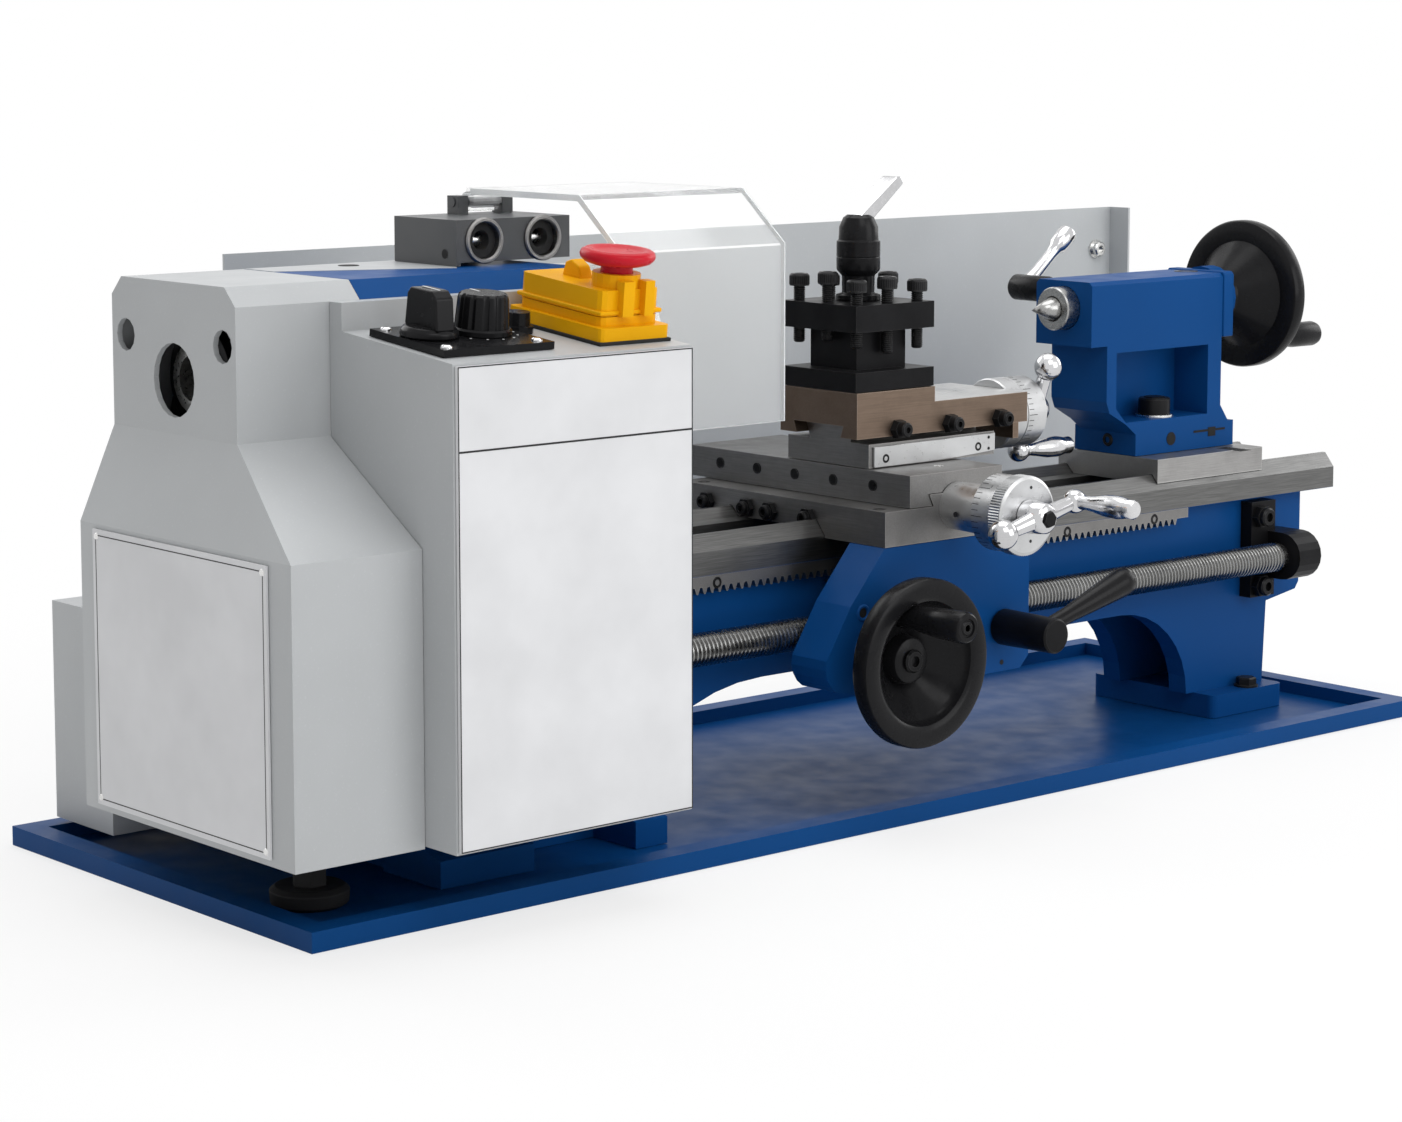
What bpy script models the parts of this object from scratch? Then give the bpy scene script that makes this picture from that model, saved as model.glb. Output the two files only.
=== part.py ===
"""A 7 x 12 bench metal lathe, as separate solids at their real size.

Every length is in millimetres. X runs from the headstock to the tailstock, Y from the operator's
side to the back, Z up. Places are measured from the tray's left front bottom corner, and world()
shifts them so that the object's origin is the middle of the tray's underside, in metres.
"""

import math

import bmesh
import bpy
from mathutils import Matrix, Vector

MM = 0.001
GAP = 0.3  # between pieces that seat on or run in each other
ROUND = 20  # sides of a round piece
FINE = 28  # sides of a large round piece
SMALL = 12  # sides of a shaft, a hole or a small knob

# --- driving dimensions ---------------------------------------------------------------------
TRAY_L, TRAY_W, TRAY_H = 730.0, 244.0, 9.0
TRAY_RIM, TRAY_FLOOR = 12.0, 2.0

AXIS_Y = 102.0  # the spindle axis and the bed's middle
BED_X0, BED_X1 = 66.0, 737.0
BED_W = 76.0
RIDGE_Z = 138.5  # top of the V ways
CENTRE_H = 89.5  # spindle axis above the ridge, so the swing is 180
RAIL_W, RAIL_H = 24.0, 19.0
SLIDE_DROP = 5.0  # the flat ways lie this much under the ridge
WALL_T = 12.0  # the bed's two long walls
WALL_INSET = 8.0  # they stand back from the rails' outer faces
ARCH_X0, ARCH_X1, ARCH_TOP = 234.0, 624.0, 64.5

HEAD_X0, HEAD_X1 = 66.0, 190.0
HEAD_FRONT, HEAD_BACK, HEAD_TOP, HEAD_CHAMFER = 54.0, 151.0, 270.0, 8.0
SPINDLE_R, SPINDLE_BORE_R = 15.0, 10.0
BEARING_R, BEARING_W = 25.0, 13.0

CHUCK_R, CHUCK_X0, CHUCK_X1 = 40.0, 200.0, 244.0
CHUCK_BORE_R = 8.0
JAW_W, JAW_REACH = 11.0, 15.0
JAW_INNER, JAW_OUTER = 8.5, 34.0  # from the spindle axis, closed a little past a small bar

LEADSCREW_R, LEADSCREW_Y, LEADSCREW_Z = 8.0, 55.0, 87.0
GEAR_MODULE = 1.5
GEAR_X0, GEAR_X1 = 37.0, 46.0
TEETH_SPINDLE, TEETH_UPPER, TEETH_LOWER, TEETH_SCREW = 28, 32, 36, 40

COVER_X0, COVER_FLARE_X0 = 3.0, -15.0
COVER_FLARE_Y0, COVER_BOTTOM, COVER_KINK, COVER_WAIST = -11.0, 38.0, 164.0, 205.0
COVER_T, COVER_HOLE_R = 2.5, 16.0

BOX_X0, BOX_X1 = 50.0, 177.5
BOX_Y0, BOX_Y1 = -32.5, 45.0
BOX_BOTTOM, BOX_FRONT_TOP, BOX_BACK_TOP = 39.0, 242.0, 250.0
BOX_T = 2.5
LEDGE_Z0, LEDGE_Z1 = 140.0, 262.0
PLATE_T = 1.6

SADDLE_X0, SADDLE_X1, SADDLE_FRONT, SADDLE_BACK, SADDLE_TOP = 346.0, 448.0, 21.6, 172.0, 147.0
SADDLE_BOTTOM = 130.0
CROSS_X0, CROSS_X1, CROSS_Y0, CROSS_Y1, CROSS_TOP = 363.0, 426.0, 22.2, 183.0, 163.0
CROSS_SCREW_X, CROSS_SCREW_Z, FEED_SCREW_R = 394.0, 146.0, 4.0
DOVETAIL_W, DOVETAIL_H, DOVETAIL_FLARE = 30.0, 6.0, 3.5

COMPOUND_X0, COMPOUND_X1, COMPOUND_Y0, COMPOUND_Y1 = 365.0, 452.0, 53.0, 111.0
COMPOUND_TOP = 175.0
SWIVEL_X, SWIVEL_Y = 394.0, 82.0
TOP_X0, TOP_X1, TOP_Y0, TOP_Y1 = 357.0, 476.0, 53.0, 108.0
TOP_Z0, TOP_Z1, TOP_STEP_X, TOP_STEP_Z = 178.0, 200.5, 410.0, 193.0
POST_SIDE, POST_X, POST_Y = 53.0, 383.5, 80.5
POST_BASE_T, POST_NECK_H, POST_HEAD_T, POST_INSET = 9.5, 19.5, 13.0, 10.0

APRON_T, APRON_WALL, APRON_CLEARANCE = 24.0, 10.0, 1.0
APRON_X0, APRON_X1, APRON_Z0 = 308.0, 446.0, 60.0
WHEEL_X, WHEEL_Z, WHEEL_R = 344.0, 78.6, 40.5
HUB_SINK, WHEEL_GRIP_IN = 11.0, 17.5  # hub face behind the rim, grip inside the rim
TEETH_WHEEL, TEETH_REDUCE, TEETH_PINION = 14, 28, 10
LEVER_X, LEVER_Z = 427.0, 82.5
HALF_NUT_OPEN = 3.7

TAIL_X0, TAIL_X1, TAIL_FRONT, TAIL_BACK = 555.0, 668.0, 82.0, 122.0
TAIL_BLOCK_Z0, TAIL_BLOCK_Z1 = 208.0, 242.5
TAIL_BASE_X0, TAIL_BASE_X1, TAIL_BASE_TOP = 591.0, 671.0, 161.0
SOLE_X0, SOLE_X1, SOLE_Y0, SOLE_TOP = 591.0, 677.0, 66.0, 147.0
QUILL_R, QUILL_X0 = 11.5, 546.0
CENTRE_TIP_X = 530.0
TAIL_WHEEL_X, TAIL_WHEEL_R = 697.0, 41.0

GUARD_X0, GUARD_X1, GUARD_T, GUARD_TOP = 178.5, 276.0, 3.0, 303.0
GUARD_FRONT, GUARD_BOTTOM = 16.0, 197.0
HINGE_Y, HINGE_Z, HINGE_R = 130.0, 296.5, 2.3
BRACKET_X0, BRACKET_X1, BRACKET_Y0, BRACKET_Y1, BRACKET_TOP = 144.0, 209.0, 90.0, 137.0, 291.0
BRACKET_T = 2.5

SPLASH_X0, SPLASH_X1, SPLASH_Y, SPLASH_T = 120.0, 747.0, 242.4, 1.5
SPLASH_Z0, SPLASH_TOP = 88.0, 269.0

MOTOR_Y, MOTOR_Z, MOTOR_R = 180.0, 66.0, 30.0
MOTOR_X0, MOTOR_X1 = 72.0, 172.0
PULLEY_X0, PULLEY_X1 = 22.5, 35.5
SPINDLE_PULLEY_R, MOTOR_PULLEY_R = 26.0, 13.0
BELT_W, BELT_T = 9.0, 2.5

FOOT_H = 12.5
LEFT_FOOT_X0, LEFT_FOOT_X1, LEFT_FOOT_Y0 = 96.0, 226.0, 41.0
RIGHT_FOOT_L, RIGHT_FOOT_Y0 = 59.0, 58.0
RIGHT_LEG_IN, END_WALL_IN, END_LIP_Z = 50.0, 19.0, 63.0  # back from the bed's end
RACK_X0, RACK_X1 = 240.0, 615.0
RACK_T = 6.7
STUD_R = 5.0
BRACKET_BLOCK_IN, BRACKET_BLOCK_L = 38.0, 18.0
MOTOR_SHAFT_R = 5.0
MOTOR_COVER_X0, MOTOR_COVER_X1 = 19.0, 178.0
MOTOR_COVER_Y, MOTOR_COVER_Y1, MOTOR_COVER_Z0, MOTOR_COVER_Z1 = 186.0, 236.0, 12.0, 114.0
KNOB_SHAFT_R = 3.0
DIRECTION_KNOB, SPEED_KNOB, FUSE = (67.0, 7.0), (93.5, 6.0), (121.0, 17.0)
PANEL = (54.0, 111.5, -21.0, 31.0)
PANEL_T = 3.2
SWITCH = (135.5, 173.5, -22.0, 42.0)
SWITCH_BODY_H, SWITCH_LID_H = 11.0, 11.0
STOP_POINT, START_POINT = (154.5, -7.0), (154.5, 20.0)
STOP_R, BUTTON_TRAVEL = 16.5, 3.0
SPLASH_ARMS_X = (225.0, 640.0)
NUT_SLOT = 5.0
SHAFT_R, CAM_R = 5.0, 11.0
GEAR_Y0, GEAR_Y1 = 35.0, 43.0
WHEEL_GEAR_PHASE = math.radians(10)
CRANK_REACH, CRANK_BALL_R, CRANK_GRIP_L = 25.0, 7.3, 36.0
TOP_SCREW_Y, TOP_SCREW_Z = 80.5, 179.2
TOP_RAIL_H, TOP_TRAVEL_IN = 8.5, 18.0
STUD_T_R, STUD_RISE = 6.0, 22.0
LOCK_X, LOCK_Z = 566.0, 236.0
TAPER_R, TAIL_SCREW_R, CAP_T = 7.0, 4.5, 7.0

# --- values worked out from those -----------------------------------------------------------
FOOT_Z = TRAY_FLOOR + GAP
AXIS_Z = RIDGE_Z + CENTRE_H
FLAT_Z = RIDGE_Z - SLIDE_DROP
RAIL_Z0 = RIDGE_Z - RAIL_H
RAIL_Y0 = AXIS_Y - BED_W / 2
RAIL_Y1 = AXIS_Y + BED_W / 2
WALL_Y0 = RAIL_Y0 + WALL_INSET
WALL_Y1 = RAIL_Y1 - WALL_INSET
RIGHT_LEG_X1 = BED_X1 - RIGHT_LEG_IN
RIGHT_FOOT_X1 = RIGHT_LEG_X1 + 2.0
RIGHT_FOOT_X0 = RIGHT_FOOT_X1 - RIGHT_FOOT_L
END_WALL_X1 = BED_X1 - END_WALL_IN
BRACKET_BLOCK_X1 = BED_X1 - BRACKET_BLOCK_IN
BRACKET_BLOCK_X0 = BRACKET_BLOCK_X1 - BRACKET_BLOCK_L
RACK_Y1 = WALL_Y0 - GAP
APRON_BACK = LEADSCREW_Y - LEADSCREW_R - APRON_CLEARANCE
RACK_Y0 = RACK_Y1 - RACK_T
BOX_SLOPE = math.atan2(BOX_BACK_TOP - BOX_FRONT_TOP, BOX_Y1 - BOX_Y0)
RACK_TOOTH_TOP = RAIL_Z0 - 8.9  # the teeth point down
PINION_R = TEETH_PINION * GEAR_MODULE / 2
PINION_Z = RACK_TOOTH_TOP + GEAR_MODULE - PINION_R
GEAR_REACH = (TEETH_WHEEL + TEETH_REDUCE) * GEAR_MODULE / 2
PINION_X = WHEEL_X + math.sqrt(GEAR_REACH**2 - (PINION_Z - WHEEL_Z) ** 2)
POST_Z0 = TOP_Z1 + GAP
POST_TOP = POST_Z0 + POST_BASE_T + POST_NECK_H + POST_HEAD_T


# --- modelling helpers ----------------------------------------------------------------------
def world(x, y, z):
    """A place measured from the tray's corner, as a point of the model in metres."""
    return Vector(((x - TRAY_L / 2) * MM, (y - TRAY_W / 2) * MM, z * MM))


def from_bmesh(bm):
    """An unnamed object with its faces pointing out."""
    bmesh.ops.recalc_face_normals(bm, faces=bm.faces)
    mesh = bpy.data.meshes.new("shape")
    bm.to_mesh(mesh)
    bm.free()
    obj = bpy.data.objects.new("shape", mesh)
    bpy.context.collection.objects.link(obj)
    return obj


ORDER = {"x": (1, 2, 0), "y": (0, 2, 1), "z": (0, 1, 2)}


def place(axis, across, up, along):
    """A point from its two coordinates in the plane across an axis, and the one along it."""
    point = [0.0, 0.0, 0.0]
    for index, value in zip(ORDER[axis], (across, up, along)):
        point[index] = value
    return world(*point)


def prism(axis, outline, low, high):
    """An outline (in y,z or x,z or x,y) carried straight along the axis."""
    bm = bmesh.new()
    rings = [[bm.verts.new(place(axis, a, b, level)) for a, b in outline] for level in (low, high)]
    for ring in rings:
        bm.faces.new(ring)
    count = len(outline)
    for i in range(count):
        j = (i + 1) % count
        bm.faces.new((rings[0][i], rings[0][j], rings[1][j], rings[1][i]))
    return from_bmesh(bm)


def block(x0, x1, y0, y1, z0, z1):
    return prism("z", [(x0, y0), (x1, y0), (x1, y1), (x0, y1)], z0, z1)


def turned(axis, centre, profile, sides=ROUND):
    """A closed profile of (along, radius) turned round an axis through centre."""
    bm = bmesh.new()
    a0, b0 = (centre[i] for i in ORDER[axis][:2])
    rings = []
    for along, radius in profile:
        if radius == 0:
            rings.append([bm.verts.new(place(axis, a0, b0, along))])
            continue
        ring = []
        for i in range(sides):
            angle = 2 * math.pi * i / sides
            point = (a0 + radius * math.cos(angle), b0 + radius * math.sin(angle))
            ring.append(bm.verts.new(place(axis, *point, along)))
        rings.append(ring)
    for ring, following in zip(rings, rings[1:] + rings[:1]):
        for i in range(sides):
            j = (i + 1) % sides
            corners = [ring[i % len(ring)], ring[j % len(ring)]]
            corners += [following[j % len(following)], following[i % len(following)]]
            unique = list(dict.fromkeys(corners))
            if len(unique) > 2:
                bm.faces.new(unique)
    return from_bmesh(bm)


def rod(axis, centre, low, high, radius, sides=ROUND):
    return turned(axis, centre, [(low, 0), (low, radius), (high, radius), (high, 0)], sides)


def ring(axis, centre, low, high, inner, outer, sides=ROUND):
    return turned(axis, centre, [(low, inner), (low, outer), (high, outer), (high, inner)], sides)


def ball(centre, radius, sides=12):
    """A ball on the X axis through its centre."""
    steps = sides // 2
    profile = []
    for i in range(steps + 1):
        angle = math.pi * i / steps
        size = 0 if i in (0, steps) else radius * math.sin(angle)
        profile.append((centre[0] - radius * math.cos(angle), size))
    return turned("x", centre, profile, sides)


def combine(base, tools, operation):
    """Join or cut with EXACT Booleans, apply them and take the tools away."""
    for tool in tools:
        modifier = base.modifiers.new("Boolean", "BOOLEAN")
        modifier.operation = operation
        modifier.solver = "EXACT"
        modifier.object = tool
    graph = bpy.context.evaluated_depsgraph_get()
    graph.update()
    result = bpy.data.meshes.new_from_object(base.evaluated_get(graph))
    base.modifiers.clear()
    base.data = result
    for tool in tools:
        bpy.data.objects.remove(tool)
    return base


def union(base, *tools):
    return combine(base, tools, "UNION")


def cut(base, *tools):
    return combine(base, tools, "DIFFERENCE")


def tilt(obj, axis, angle, centre):
    """Turn a shape about an axis through centre, in its mesh."""
    point = world(*centre)
    turn = Matrix.Translation(point) @ Matrix.Rotation(angle, 4, axis.upper())
    obj.data.transform(turn @ Matrix.Translation(-point))
    return obj


MATERIALS = {}


def material(name, colour, roughness, metallic=0.0, alpha=1.0):
    """A Principled BSDF material, made once for each name."""
    if name not in MATERIALS:
        made = bpy.data.materials.new(name)
        made.use_nodes = True
        shader = made.node_tree.nodes["Principled BSDF"]
        shader.inputs["Base Color"].default_value = (*colour, 1)
        shader.inputs["Roughness"].default_value = roughness
        shader.inputs["Metallic"].default_value = metallic
        shader.inputs["Alpha"].default_value = alpha
        MATERIALS[name] = made
    return MATERIALS[name]


def blue():
    return material("blue_enamel", (0.005, 0.058, 0.235), 0.3)


def grey():
    return material("grey_enamel", (0.42, 0.44, 0.45), 0.4)


def steel():
    return material("ground_steel", (0.45, 0.45, 0.44), 0.32, 1.0)


def cast():
    return material("machined_iron", (0.22, 0.21, 0.2), 0.4, 1.0)


def black():
    return material("black_oxide", (0.012, 0.012, 0.013), 0.4, 0.3)


def plastic(name, colour):
    return material(name, colour, 0.35)


def chrome():
    return material("chrome", (0.7, 0.7, 0.72), 0.12, 1.0)


def node(name, obj, finish, origin=None, parent=None):
    """Name a finished shape, give it its material, and put its origin on its joint's axis."""
    obj.name = name
    obj.data.name = name
    obj.data.materials.clear()
    obj.data.materials.append(finish)
    obj.data.shade_smooth()
    obj.data.set_sharp_from_angle(angle=math.radians(35))
    if origin is not None:
        point = world(*origin)
        obj.data.transform(Matrix.Translation(-point))
        obj.location = point
    if parent is not None:
        obj.parent = parent
        obj.matrix_parent_inverse = Matrix.Translation(parent.matrix_world.translation).inverted()
    return obj


def group(name, origin):
    """An empty that carries one moving group, with its origin on the joint's axis."""
    empty = bpy.data.objects.new(name, None)
    empty.location = world(*origin)
    bpy.context.collection.objects.link(empty)
    bpy.context.view_layer.update()
    return empty


def arc(centre_a, centre_b, radius_a, radius_b, start, end, steps):
    """Points on an elliptical arc, angles in degrees."""
    points = []
    for i in range(steps + 1):
        angle = math.radians(start + (end - start) * i / steps)
        points.append((centre_a + radius_a * math.cos(angle), centre_b + radius_b * math.sin(angle)))
    return points


def rounded(a0, a1, b0, b1, radius, steps=4):
    """A rectangle with round corners."""
    points = []
    corners = ((a1, b1, 0), (a0, b1, 90), (a0, b0, 180), (a1, b0, 270))
    for a, b, start in corners:
        centre_a = a - radius if a == a1 else a + radius
        centre_b = b - radius if b == b1 else b + radius
        points += arc(centre_a, centre_b, radius, radius, start, start + 90, steps)
    return points


# --- gears ----------------------------------------------------------------------------------
PRESSURE = math.tan(math.radians(20))
BACKLASH = 0.45
TOOTH_TIP, TOOTH_ROOT = 0.88, 1.25  # shares of the module


def tooth_halves(at_height):
    """Half a tooth's width at a height above its pitch line."""
    return (math.pi * GEAR_MODULE / 2 - BACKLASH) / 2 - at_height * PRESSURE


def gear_outline(teeth, phase, centre=(0.0, 0.0)):
    """The outline of a spur gear that has a tooth's middle at angle phase, in radians."""
    pitch_r = teeth * GEAR_MODULE / 2
    tip, root = TOOTH_TIP * GEAR_MODULE, -TOOTH_ROOT * GEAR_MODULE
    points = []
    for tooth in range(teeth):
        middle = phase + 2 * math.pi * tooth / teeth
        for height, side in ((root, -1), (tip, -1), (tip, 1), (root, 1)):
            radius = pitch_r + height
            angle = middle + side * tooth_halves(height) / radius
            points.append((centre[0] + radius * math.cos(angle), centre[1] + radius * math.sin(angle)))
    return points


def meshed_phase(teeth, phase, other_teeth, centre, other_centre):
    """The phase of a second gear whose gap takes the first gear's tooth."""
    towards = math.atan2(other_centre[1] - centre[1], other_centre[0] - centre[0])
    offset = phase - towards
    return towards + math.pi + math.pi / other_teeth - offset * teeth / other_teeth


def gear(axis, teeth, phase, centre, low, high, bore_r):
    """A spur gear with a round bore, across an axis through centre."""
    flat = [centre[i] for i in ORDER[axis][:2]]
    body = prism(axis, gear_outline(teeth, phase, flat), low, high)
    if bore_r:
        cut(body, rod(axis, centre, low - 1, high + 1, bore_r, SMALL))
    return body


def circles_meet(a, reach_a, b, reach_b):
    """The point at these distances from a and b, on the side of the smaller first coordinate."""
    between = math.dist(a, b)
    along = (reach_a**2 - reach_b**2 + between**2) / (2 * between)
    off = math.sqrt(reach_a**2 - along**2)
    ux, uy = (b[0] - a[0]) / between, (b[1] - a[1]) / between
    choices = [(a[0] + along * ux - s * off * uy, a[1] + along * uy + s * off * ux) for s in (1, -1)]
    return min(choices)


# --- the tray and the bed -------------------------------------------------------------------
def make_tray():
    tray = block(0, TRAY_L, 0, TRAY_W, 0, TRAY_H)
    inside = block(TRAY_RIM, TRAY_L - TRAY_RIM, TRAY_RIM, TRAY_W - TRAY_RIM, TRAY_FLOOR, TRAY_H + 1)
    node("chip_tray", cut(tray, inside), blue())


def rail_outline(mirrored):
    """A rail's section: outer face, V way, flat way and inner face."""
    outer, top = RAIL_Y0, RIDGE_Z
    half = SLIDE_DROP + 2.5
    points = [(outer, RAIL_Z0), (outer, top - half), (outer + half - 1.5, top), (outer + half + 0.5, top)]
    points += [(outer + half + 0.5 + SLIDE_DROP, FLAT_Z), (outer + RAIL_W, FLAT_Z), (outer + RAIL_W, RAIL_Z0)]
    if mirrored:
        points = [(2 * AXIS_Y - y, z) for y, z in points]
    return points


def way_outline(low_y, high_y, low_z, high_z):
    """The section of a slide that sits on both V ways, with the running gap."""
    half = SLIDE_DROP + 2.5
    inner = RAIL_Y0 + half + 0.5 + SLIDE_DROP + GAP
    ridge = [RAIL_Y0 + half - 1.5 - GAP, RAIL_Y0 + half + 0.5 + GAP]
    points = [(low_y, high_z), (high_y, high_z), (high_y, low_z)]
    mirror = 2 * AXIS_Y
    edge = RAIL_Y0 - GAP
    slope = half / (half - 1.5)
    if high_y > mirror - edge:
        points += [(mirror - edge, low_z), (mirror - edge, RIDGE_Z - half + GAP)]
    else:
        points[-1] = (high_y, RIDGE_Z + GAP - (high_y - mirror + ridge[0]) * slope)
    points += [(mirror - ridge[0], RIDGE_Z + GAP), (mirror - ridge[1], RIDGE_Z + GAP)]
    points += [(mirror - inner, FLAT_Z + GAP), (inner, FLAT_Z + GAP)]
    points += [(ridge[1], RIDGE_Z + GAP), (ridge[0], RIDGE_Z + GAP)]
    if low_y < edge:
        points += [(edge, RIDGE_Z - half + GAP), (edge, low_z), (low_y, low_z)]
    else:
        points += [(low_y, RIDGE_Z + GAP - (ridge[0] - low_y) * slope)]
    return points


def make_bed():
    foot_top = FOOT_Z + FOOT_H
    wall = [(BED_X0, RAIL_Z0 + 1), (BED_X0, 46), (LEFT_FOOT_X0, 32), (LEFT_FOOT_X0, FOOT_Z)]
    wall += [(LEFT_FOOT_X1, FOOT_Z), (LEFT_FOOT_X1, foot_top)]
    wall += arc(ARCH_X0 + 78, foot_top, 78, ARCH_TOP - foot_top, 180, 90, 8)
    wall += arc(ARCH_X1 - 54, foot_top, 54, ARCH_TOP - foot_top, 90, 0, 8)
    wall += [(RIGHT_FOOT_X0, foot_top), (RIGHT_FOOT_X0, FOOT_Z), (RIGHT_LEG_X1, FOOT_Z)]
    wall += [(RIGHT_LEG_X1 + 3, END_LIP_Z - 4), (END_WALL_X1 - 3, END_LIP_Z)]
    wall += [(END_WALL_X1, END_LIP_Z + 4), (END_WALL_X1, RAIL_Z0 + 1)]
    bed = prism("x", rail_outline(False), BED_X0, BED_X1)
    parts = [prism("x", rail_outline(True), BED_X0, BED_X1)]
    parts.append(prism("y", wall, WALL_Y0, WALL_Y0 + WALL_T))
    parts.append(prism("y", wall, WALL_Y1 - WALL_T, WALL_Y1))
    inner0, inner1 = WALL_Y0 + 1, WALL_Y1 - 1
    parts.append(block(BED_X0 + 4, BED_X0 + 16, inner0, inner1, 46, RAIL_Z0 - 14))
    parts.append(block(LEFT_FOOT_X0 + 4, LEFT_FOOT_X1 - 4, inner0, inner1, FOOT_Z, foot_top))
    parts.append(block(RIGHT_LEG_X1 - 16, RIGHT_LEG_X1 - 4, inner0, inner1, foot_top - 1, RAIL_Z0 - 14))
    parts.append(block(END_WALL_X1 - 14, END_WALL_X1 - 4, inner0, inner1, END_LIP_Z + 4, RAIL_Z0 + 8))
    for x in (300.0, 440.0, 580.0):
        parts.append(block(x, x + 12, inner0, inner1, 76, RAIL_Z0 - 14))
    ear = (148.0, 207.0)
    for x0, x1 in ((LEFT_FOOT_X0, ear[0]), (ear[1], LEFT_FOOT_X1)):
        side = [(LEFT_FOOT_Y0, FOOT_Z), (WALL_Y0 + 2, FOOT_Z), (WALL_Y0 + 2, foot_top + 22)]
        side += [(WALL_Y0 - 3, foot_top + 10), (LEFT_FOOT_Y0 + 12, foot_top + 3), (LEFT_FOOT_Y0, foot_top)]
        parts.append(prism("x", side, x0, x1))
    parts.append(block(LEFT_FOOT_X0, LEFT_FOOT_X1, WALL_Y1 - 2, RAIL_Y1 + 6, FOOT_Z, foot_top))
    right = rounded(RIGHT_FOOT_X0, RIGHT_FOOT_X1, RIGHT_FOOT_Y0, 2 * AXIS_Y - RIGHT_FOOT_Y0, 4)
    parts.append(prism("z", right, FOOT_Z, foot_top))
    union(bed, *parts)
    holes = [rod("z", (666, 65, 0), -5, foot_top + 5, 3.6, SMALL)]
    holes.append(rod("z", (666, 2 * AXIS_Y - 65, 0), -5, foot_top + 5, 3.6, SMALL))
    cut(bed, *holes)
    node("bed", bed, blue())


def make_rack():
    """A toothed bar under the front rail; a gap stands over the pinion's middle."""
    pitch = math.pi * GEAR_MODULE
    pitch_line = RACK_TOOTH_TOP + GEAR_MODULE
    tip = pitch_line - TOOTH_TIP * GEAR_MODULE
    root = pitch_line + TOOTH_ROOT * GEAR_MODULE
    outline = [(RACK_X1, RAIL_Z0 - GAP), (RACK_X0, RAIL_Z0 - GAP)]
    first = math.ceil((RACK_X0 + pitch - PINION_X) / pitch)
    last = math.floor((RACK_X1 - pitch - PINION_X) / pitch)
    outline.append((RACK_X0, root))
    for index in range(first, last):
        middle = PINION_X + (index + 0.5) * pitch
        for level, side in ((root, -1), (tip, -1), (tip, 1), (root, 1)):
            half = tooth_halves(pitch_line - level)
            outline.append((middle + side * half, level))
    outline.append((RACK_X1, root))
    node("rack", prism("y", outline, RACK_Y0, RACK_Y1), steel())


# --- the headstock and what it holds --------------------------------------------------------
def make_headstock():
    low = RIDGE_Z + GAP
    chamfer = HEAD_CHAMFER
    outline = [(HEAD_FRONT, low), (HEAD_BACK, low), (HEAD_BACK, HEAD_TOP - chamfer)]
    outline += [(HEAD_BACK - chamfer, HEAD_TOP), (HEAD_FRONT + chamfer, HEAD_TOP)]
    outline += [(HEAD_FRONT, HEAD_TOP - chamfer)]
    head = prism("x", outline, HEAD_X0, HEAD_X1)
    centre = (0, AXIS_Y, AXIS_Z)
    shoulder = BEARING_R - 5
    profile = [(HEAD_X0 - 1, 0), (HEAD_X0 - 1, BEARING_R + GAP), (HEAD_X0 + BEARING_W, BEARING_R + GAP)]
    profile += [(HEAD_X0 + BEARING_W, shoulder), (HEAD_X1 - BEARING_W, shoulder)]
    profile += [(HEAD_X1 - BEARING_W, BEARING_R + GAP), (HEAD_X1 + 1, BEARING_R + GAP), (HEAD_X1 + 1, 0)]
    cut(head, turned("x", centre, profile, FINE))
    node("headstock", head, blue())
    for name, low_x in (("spindle_bearing_left", HEAD_X0), ("spindle_bearing_right", HEAD_X1 - BEARING_W)):
        race = ring("x", centre, low_x + GAP, low_x + BEARING_W - GAP, SPINDLE_R + GAP, BEARING_R)
        node(name, race, steel())


def pulley_profile(bore_r, radius):
    """A flat-belt pulley's section: a groove between two flanges."""
    middle, half, flange = (PULLEY_X0 + PULLEY_X1) / 2, BELT_W / 2 + 1.2, radius + 3
    return [(PULLEY_X0, bore_r), (PULLEY_X0, flange), (middle - half, flange), (middle - half, radius),
            (middle + half, radius), (middle + half, flange), (PULLEY_X1, flange), (PULLEY_X1, bore_r)]


def make_spindle():
    centre = (0, AXIS_Y, AXIS_Z)
    carrier = group("spindle_axis", centre)
    left, flange = 12.0, HEAD_X1 + GAP
    profile = [(left, SPINDLE_BORE_R), (left, SPINDLE_R), (flange, SPINDLE_R), (flange, 27.5)]
    profile += [(CHUCK_X0 - GAP, 27.5), (CHUCK_X0 - GAP, SPINDLE_BORE_R)]
    shaft = turned("x", centre, profile)
    phase = 0.0
    wheel = gear("x", TEETH_SPINDLE, phase, centre, GEAR_X0, GEAR_X1, SPINDLE_R - 2)
    pulley = turned("x", centre, pulley_profile(SPINDLE_R - 2, SPINDLE_PULLEY_R))
    node("spindle", union(shaft, wheel, pulley), steel(), centre, carrier)
    make_chuck(carrier)
    return phase


def radial(obj, angle):
    """Turn a shape made above the spindle axis round that axis."""
    return tilt(obj, "x", angle, (0, AXIS_Y, AXIS_Z))


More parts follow.
